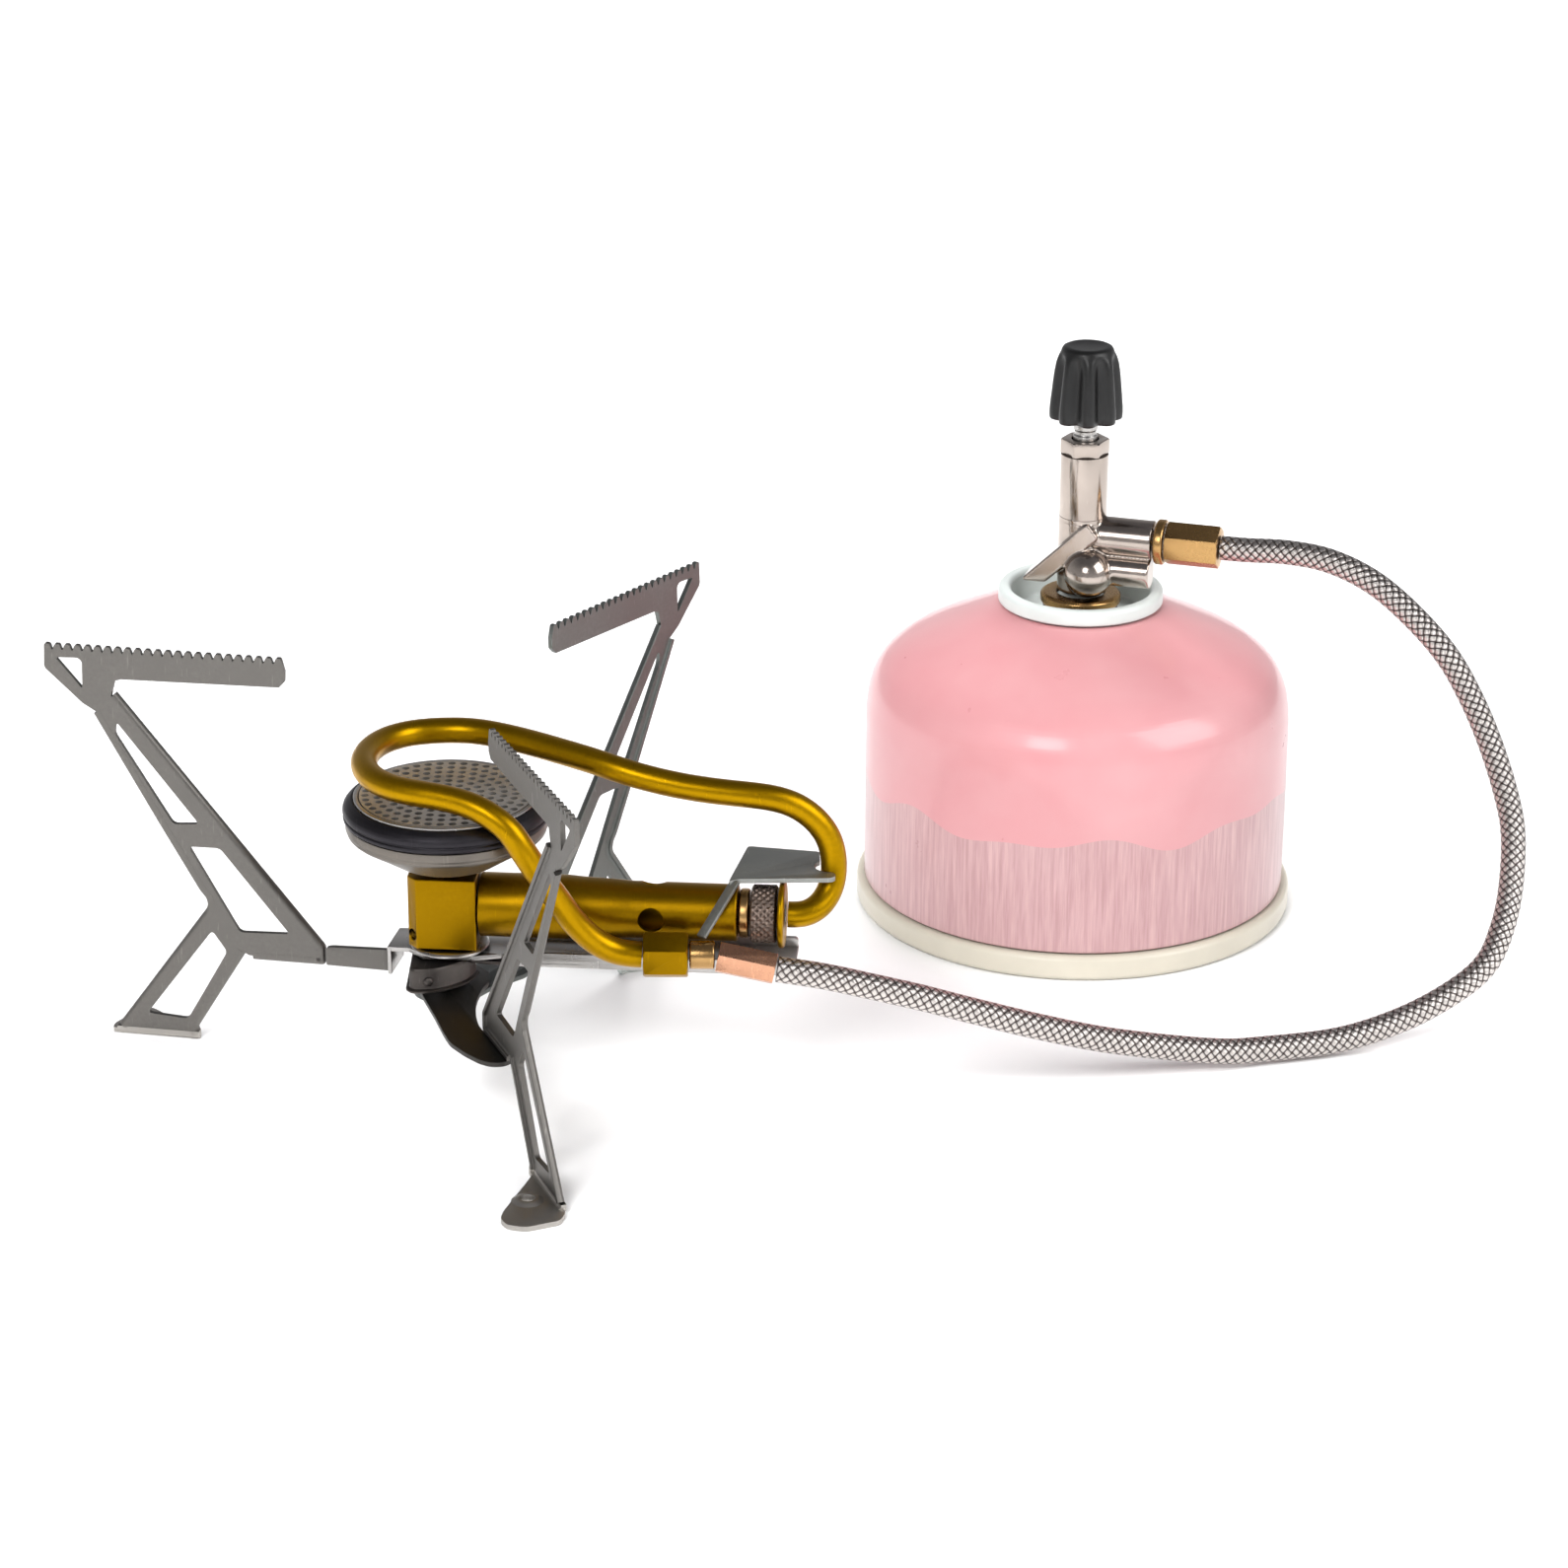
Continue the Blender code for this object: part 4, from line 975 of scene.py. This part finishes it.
def burner_head():
    lathe("burner_neck_turned",
          [(0, 43.6), (3.0, 43.6), (3.0, 41.45), (4.7, 41.1), (5.0, 40.9), (5.0, 40.5), (0, 40.5)],
          0.15, 72, False, "brass", "burner_neck")
    lathe("burner_bowl_pressing",
          [(3.35, 41.75), (3.35, 41.45), (6.6, 41.45), (10.2, 42.8), (14.4, 45.6), (18.3, 48.1),
           (18.8, 48.6), (18.8, 49.1), (19.05, 49.4), (19.05, 51.0), (17.0, 51.0), (17.0, 48.7),
           (13.8, 46.5), (9.7, 43.9), (6.2, 42.5), (3.35, 42.5)],
          0.25, 128, True, "bowl_steel", "burner_bowl", slot="burner_steel")
    lathe("burner_band_grooved",
          [(17.55, 55.2), (17.9, 55.2), (18.8, 54.5), (19.3, 53.9), (19.5, 53.3), (19.5, 52.6),
           (19.25, 52.4), (19.25, 52.2), (19.45, 52.0), (19.45, 51.5), (19.15, 51.15), (17.55, 51.15)],
          0.2, 128, True, "dark_band", "burner_band")
    lathe("burner_rim_rolled",
          [(16.5, 55.6), (17.45, 55.6), (17.45, 51.2), (16.0, 51.2), (16.0, 54.2), (16.5, 54.2)],
          0.3, 128, True, "bright_steel", "burner_rim")


def flame_plate():
    """A disc drilled with rings of holes, every other ring turned by half a step."""
    holes = [circle(0, 0, 16.35, 96), circle(0, 0, PLATE_HOLE_R, 12)]
    for ring in range(1, PLATE_RINGS + 1):
        radius = ring * PLATE_RING_STEP
        for k in range(6 * ring):
            angle = 2 * math.pi * (k + 0.5 * (ring % 2)) / (6 * ring)
            holes.append(circle(radius * math.cos(angle), radius * math.sin(angle), PLATE_HOLE_R, 12))
    disc = sheet("flame_plate_drilled", holes, 54.5, 55.6)
    add("flame_plate_drilled", disc, "plate_steel", "stove", ["flame_plate"], AT_HUB, slot="burner_steel")


def mixing_tube():
    body = turned(
        "mixing_tube_turned",
        [(4.5, 55.0), (5.15, 55.0), (5.4, 54.7), (5.4, 35.0), (5.55, 33.0), (5.9, 25.0), (6.1, 22.5),
         (6.1, 6.2), (4.5, 6.2)], 0.3, 96, True)
    drills = []
    for name, lean in (("front_hole", 90), ("top_hole", -20)):
        drill = rod(name, TUBE_HOLE_R, 14, 48)
        drill.transform(shift(TUBE_HOLE_AT, 0, 0) @ spin(lean, "X"))
        drill.transform(LAID.inverted())
        drills.append(drill)
    body = combined(body, drills, "DIFFERENCE")
    add("mixing_tube_turned", body, "shaded_brass", "stove", ["mixing_tube"], TUBE_LINE, slot="brass")


def jet_nut():
    """A nut whose round face carries two crossing sets of ridges."""
    levels = [(1.85, 57.5, 0), (5.0, 57.5, 0), (5.2, 57.6, 0)]
    for k in range(KNURL_STEPS + 1):
        levels.append((KNURL_R, KNURL_LOW + KNURL_LENGTH * k / KNURL_STEPS, KNURL_DEPTH))
    levels += [(5.2, 62.3, 0), (5.0, 62.4, 0), (1.85, 62.4, 0)]
    verts = []
    for radius, level, depth in levels:
        for k in range(KNURL_SIDES):
            around = KNURL_TEETH * k / KNURL_SIDES
            one = math.cos(2 * math.pi * (around + level / KNURL_LEAD))
            two = math.cos(2 * math.pi * (around - level / KNURL_LEAD))
            reach = radius + depth * max(one, two)
            angle = 2 * math.pi * k / KNURL_SIDES
            verts.append((reach * math.cos(angle), reach * math.sin(angle), level))
    rings = numbered(len(levels), KNURL_SIDES)
    nut = mesh_of("jet_nut_knurled", verts, skin(rings + rings[:1]))
    add("jet_nut_knurled", nut, "nut_steel", "stove", ["jet_nut"], TUBE_LINE, 25.0, "bright_steel")


def jet():
    lathe("gas_jet_turned",
          [(0, 63.9), (1.55, 63.9), (1.55, 57.2), (4.4, 57.2), (4.7, 56.9), (4.7, 55.6), (4.4, 55.3),
           (2.4, 55.3), (2.4, 54.0), (1.2, 51.4), (0, 51.4)],
          0.15, 64, False, "nut_brass", "gas_jet", TUBE_LINE)
    jet_nut()
    lathe("jet_flange_turned",
          [(1.85, 63.9), (5.9, 63.9), (6.4, 63.6), (6.4, 63.0), (6.1, 62.7), (1.85, 62.7)],
          0.2, 96, True, "brass", "jet_flange", TUBE_LINE)


# -------- fuel line on the stove
PREHEAT_R = 2.48
INLET_Y = -14.8
INLET_Z = 29.3
PREHEAT_ROUTE = [
    (36.9, -14.8, 29.3), (33.4, -14.9, 29.6), (29.2, -15.4, 31.4), (24.6, -16.4, 36.2), (21.8, -17.0, 41.0),
    (17.6, -18.4, 47.8), (14.2, -18.6, 53.9), (12.1, -18.0, 56.4), (7.6, -16.6, 59.2), (2.6, -14.6, 60.2),
    (-2.6, -13.1, 60.6), (-8.0, -11.0, 60.7), (-12.2, -7.2, 60.8), (-14.9, -2.0, 61.0), (-15.6, 4.0, 61.2),
    (-13.8, 10.6, 61.3), (-9.8, 15.6, 61.2), (-4.6, 17.8, 61.2), (1.9, 18.3, 61.2), (7.2, 16.8, 61.2),
    (14.1, 13.5, 60.9), (21.3, 8.9, 60.6), (28.4, 4.4, 60.2), (34.3, 1.9, 59.0), (42.9, 0.6, 57.2),
    (52.3, 0.0, 55.95), (61.7, 0.2, 54.95), (67.4, 0.6, 52.2), (71.6, 0.8, 47.4), (72.9, 0.5, 42.0),
    (72.4, -1.0, 37.3), (70.2, -3.4, 34.4), (67.2, -4.95, 33.3), (64.15, -4.95, 33.3),
]


def eased(points, rounds):
    """The route with its small kinks smoothed out and its ends kept."""
    route = [Vector(p) for p in points]
    for _ in range(rounds):
        between = [(a + b * 2 + c) / 4 for a, b, c in zip(route, route[1:], route[2:])]
        route = [route[0]] + between + [route[-1]]
    return route


def fuel_line():
    route = eased(spline_through(PREHEAT_ROUTE, 8), 24)
    loop = tube("preheat_tube_bent", route, PREHEAT_R, 48)
    add("preheat_tube_bent", loop, "brass", "stove", ["preheat_tube"], AT_HUB, 60.0)
    connector = hexagon("inlet_connector_hex", 4.6, 8.3, 0.0, 0.6)
    line = AT_HUB @ shift(37.2, INLET_Y, INLET_Z) @ LAID
    add("inlet_connector_hex", connector, "shaded_brass", "stove", ["inlet_connector"], line, slot="brass")
    stub = turned("stub", [(0, 0), (2.45, 0), (2.65, 0.25), (2.65, 4.45), (2.45, 4.7), (0, 4.7)], 0.15, 64)
    line = AT_HUB @ shift(45.8, INLET_Y, INLET_Z) @ LAID
    add("inlet_stub_turned", stub, "nut_brass", "stove", ["inlet_stub"], line)
    ferrule = hexagon("inlet_ferrule_crimped", 3.15, 10.9, 0.0, 0.35)
    sagging = spin(-4) @ spin(101, "Y")
    line = AT_HUB @ shift(51.1, INLET_Y, INLET_Z - 0.4) @ sagging
    add("inlet_ferrule_crimped", ferrule, "copper", "stove", ["inlet_ferrule"], line)


def bracket():
    top = [
        (53.0, -7.0), (54.8, -5.9), (72.2, -5.3), (73.0, -4.5), (73.0, -3.2), (72.3, -2.5), (71.0, -2.3),
        (69.6, -1.3), (69.0, 0.5), (69.6, 2.3), (70.2, 2.9), (70.1, 7.5), (56.5, 10.1),
    ]
    plate = bevelled(sheet("bracket_plate", [rounded(top, 0.7)], 40.0, 40.9), 0.2, 3)
    start = Vector((54.3, -5.9, 40.45))
    end = Vector((48.0, -14.6, 32.8))
    along = end - start
    section = [(-0.95, -0.4), (0.95, -0.4), (0.95, 0.4), (-0.95, 0.4)]
    strap = sheet("bracket_strap", [section], 0.0, along.length)
    side = along.cross(Vector((0, 0, 1))).normalized()
    aim = Matrix((side, along.cross(side).normalized(), along.normalized())).transposed().to_4x4()
    strap.transform(Matrix.Translation(start * MM) @ aim)
    whole = joined("tube_bracket_sheet", [plate, bevelled(strap, 0.15)])
    add("tube_bracket_sheet", whole, "bracket_steel", "stove", ["tube_bracket"], AT_HUB, slot="leg_steel")


# -------- valve
BARREL_LENGTH = 14.9


def valve_body():
    """The casting: parts united, skinned over and eased, with a turned neck."""
    profile = [(0, 67.4), (4.5, 67.4), (4.9, 67.8), (4.9, 82.8), (4.6, 83.1), (0, 83.1)]
    core = turned("valve_core", profile, 0.3, 64)
    barrel = rod("barrel", 4.13, BARREL_LENGTH)
    barrel.transform(OUTLET_TURN @ LAID)
    wing = [(2.0, 4.0), (4.4, 1.0), (-6.4, -9.4), (-10.8, -9.4), (-11.1, -8.8)]
    web = upright("wing", [rounded(wing, 0.8)], -5.2, 0.3)
    web.transform(OUTLET_TURN)
    lobe = bpy.data.meshes.new("lobe")
    bm = bmesh.new()
    centre = shift(1.1, -4.6, 72.4)
    bmesh.ops.create_uvsphere(bm, u_segments=48, v_segments=24, radius=4.95 * MM, matrix=centre)
    bm.to_mesh(lobe)
    bm.free()
    boss = rod("boss", 3.18, BARREL_LENGTH, 48)
    boss.transform(OUTLET_TURN @ shift(0, -2.2, -6.2) @ LAID)
    body = combined(core, [barrel, web, lobe, boss], "UNION")

    def cast(item):
        skin_over = item.modifiers.new("skin", "REMESH")
        skin_over.mode = "VOXEL"
        skin_over.voxel_size = 0.22 * MM
        ease = item.modifiers.new("ease", "SMOOTH")
        ease.iterations = 7
        ease.factor = 0.5

    neck = turned("neck", [(0, 83.4), (4.86, 83.4), (4.86, 81.0), (0, 81.0)], 0.03, 96)
    body = joined("valve_body_cast", [modified(body, cast), neck])
    add("valve_body_cast", body, "valve_nickel", "stove", ["valve_body"], AT_CAN, 50.0)


def valve_fittings():
    lathe("valve_collar_turned",
          [(4.95, 67.15), (7.6, 67.1), (8.2, 66.6), (8.2, 65.2), (7.8, 64.8), (5.65, 64.8), (5.65, 66.4),
           (4.95, 66.4)],
          0.25, 96, True, "nut_brass", "valve_collar", AT_CAN)
    carried("canister_seal", "seal_rubber")
    lathe("valve_stem_housing_turned",
          [(2.8, 96.45), (4.85, 96.45), (4.85, 83.45), (2.8, 83.45)],
          0.06, 96, True, "valve_nickel", "valve_stem_housing", AT_CAN)
    nut = hexagon("packing_nut_hex", 4.95, 3.0, 96.5, 0.3, 2.8)
    add("packing_nut_hex", nut, "valve_nickel", "stove", ["packing_nut"], AT_CAN)
    lathe("valve_spindle_turned",
          [(0, 111.4), (2.45, 111.4), (2.45, 101.6), (2.2, 101.3), (2.2, 100.6), (2.45, 100.3), (2.45, 90.6),
           (1.7, 90.0), (1.7, 86.2), (0.5, 84.0), (0, 84.0)],
          0.12, 64, False, "bright_steel", "valve_spindle", AT_CAN, "knob")
    lathe("barrel_ring_turned",
          [(2.4, 17.3), (4.3, 17.3), (4.6, 17.0), (4.6, 15.7), (4.3, 15.4), (2.4, 15.4)],
          0.2, 72, True, "nut_brass", "barrel_ring", OUTLET_LINE)
    ferrule = hexagon("valve_ferrule_hex", 4.5, 10.8, 17.6, 0.45)
    add("valve_ferrule_hex", ferrule, "nut_brass", "stove", ["valve_ferrule"], OUTLET_LINE)


KNOB_SIDES = 160
KNOB_FLUTES = 8
FLUTE_DEPTH = 1.5
KNOB_BORE_R = 2.75
KNOB_BORE_TOP = 111.7


def knob():
    """Deep flutes, open at the lower edge, that fade out under a smooth domed cap."""
    levels = [
        (103.6, 6.7, 1.0), (103.75, 7.1, 1.0), (104.1, 7.35, 1.0), (105.2, 7.4, 1.0), (106.4, 7.35, 1.0),
        (108.0, 7.2, 1.0), (110.0, 7.0, 1.0), (112.0, 6.8, 1.0), (114.0, 6.55, 0.95), (115.4, 6.3, 0.8),
        (116.4, 6.0, 0.5), (117.1, 5.7, 0.2), (117.6, 5.4, 0.0), (118.1, 5.25, 0.0), (118.6, 4.95, 0.0),
        (118.82, 4.5, 0.0), (118.88, 3.9, 0.0), (118.75, 3.3, 0.0),
    ]
    verts = []
    for height, radius, depth in levels:
        for k in range(KNOB_SIDES):
            angle = 2 * math.pi * k / KNOB_SIDES
            wave = 0.5 - 0.5 * math.cos(KNOB_FLUTES * angle)
            reach = radius - FLUTE_DEPTH * depth * wave ** 1.3
            verts.append((reach * math.cos(angle), reach * math.sin(angle), height))
    tip = [len(verts)]
    verts.append((0, 0, 118.7))
    under = list(range(len(verts), len(verts) + KNOB_SIDES))
    verts += ring_at(KNOB_BORE_R, levels[0][0], KNOB_SIDES)
    deep = list(range(len(verts), len(verts) + KNOB_SIDES))
    verts += ring_at(KNOB_BORE_R, KNOB_BORE_TOP, KNOB_SIDES)
    chain = [deep, under] + numbered(len(levels), KNOB_SIDES) + [tip]
    mesh = mesh_of("knob", verts, skin(chain) + [tuple(deep)])
    add("valve_knob_moulded", mesh, "knob_black", "knob", ["valve_knob"], AT_CAN, 40.0)


# -------- canister
def canister():
    body = [
        (15.4, 64.75), (16.8, 64.6), (20.0, 62.9), (25.0, 60.5), (31.0, 57.7), (36.5, 54.8), (40.4, 51.6),
        (42.6, 47.6), (43.45, 42.4), (43.45, 5.4), (42.5, 5.4), (42.5, 42.0), (39.4, 50.4), (15.4, 63.7),
    ]
    shell = turned("canister_body_drawn", rounded(body, 2.4), 0.05, 160, True, 1)
    add("canister_body_drawn", shell, "canister_paint", "canister", ["canister_body"], AT_CAN, 40.0)
    lathe("canister_base_rolled",
          [(0, 7.2), (34.0, 5.6), (41.5, 4.6), (42.0, 5.1), (44.2, 5.1), (44.95, 4.5), (44.95, 0.7),
           (44.3, 0.0), (42.6, 0.0), (41.9, 0.6), (38.5, 3.2), (34.0, 4.4), (0, 6.1)],
          0.5, 160, False, "canister_rim", "canister_base", AT_CAN, "canister")
    lathe("mounting_cup_crimped",
          [(0, 66.2), (4.9, 66.2), (5.25, 65.9), (5.25, 62.2), (13.8, 62.0), (14.1, 62.6), (14.1, 67.5),
           (14.7, 68.3), (16.2, 68.3), (16.8, 67.7), (16.8, 65.4), (16.4, 65.1), (15.05, 65.1),
           (15.05, 61.0), (0, 61.0)],
          0.5, 128, False, "cup_steel", "mounting_cup", AT_CAN, "canister")


camera()
hose()
legs()
hub()
burner_block()
burner_head()
flame_plate()
mixing_tube()
jet()
fuel_line()
bracket()
valve_body()
valve_fittings()
knob()
canister()
floor()
studio()
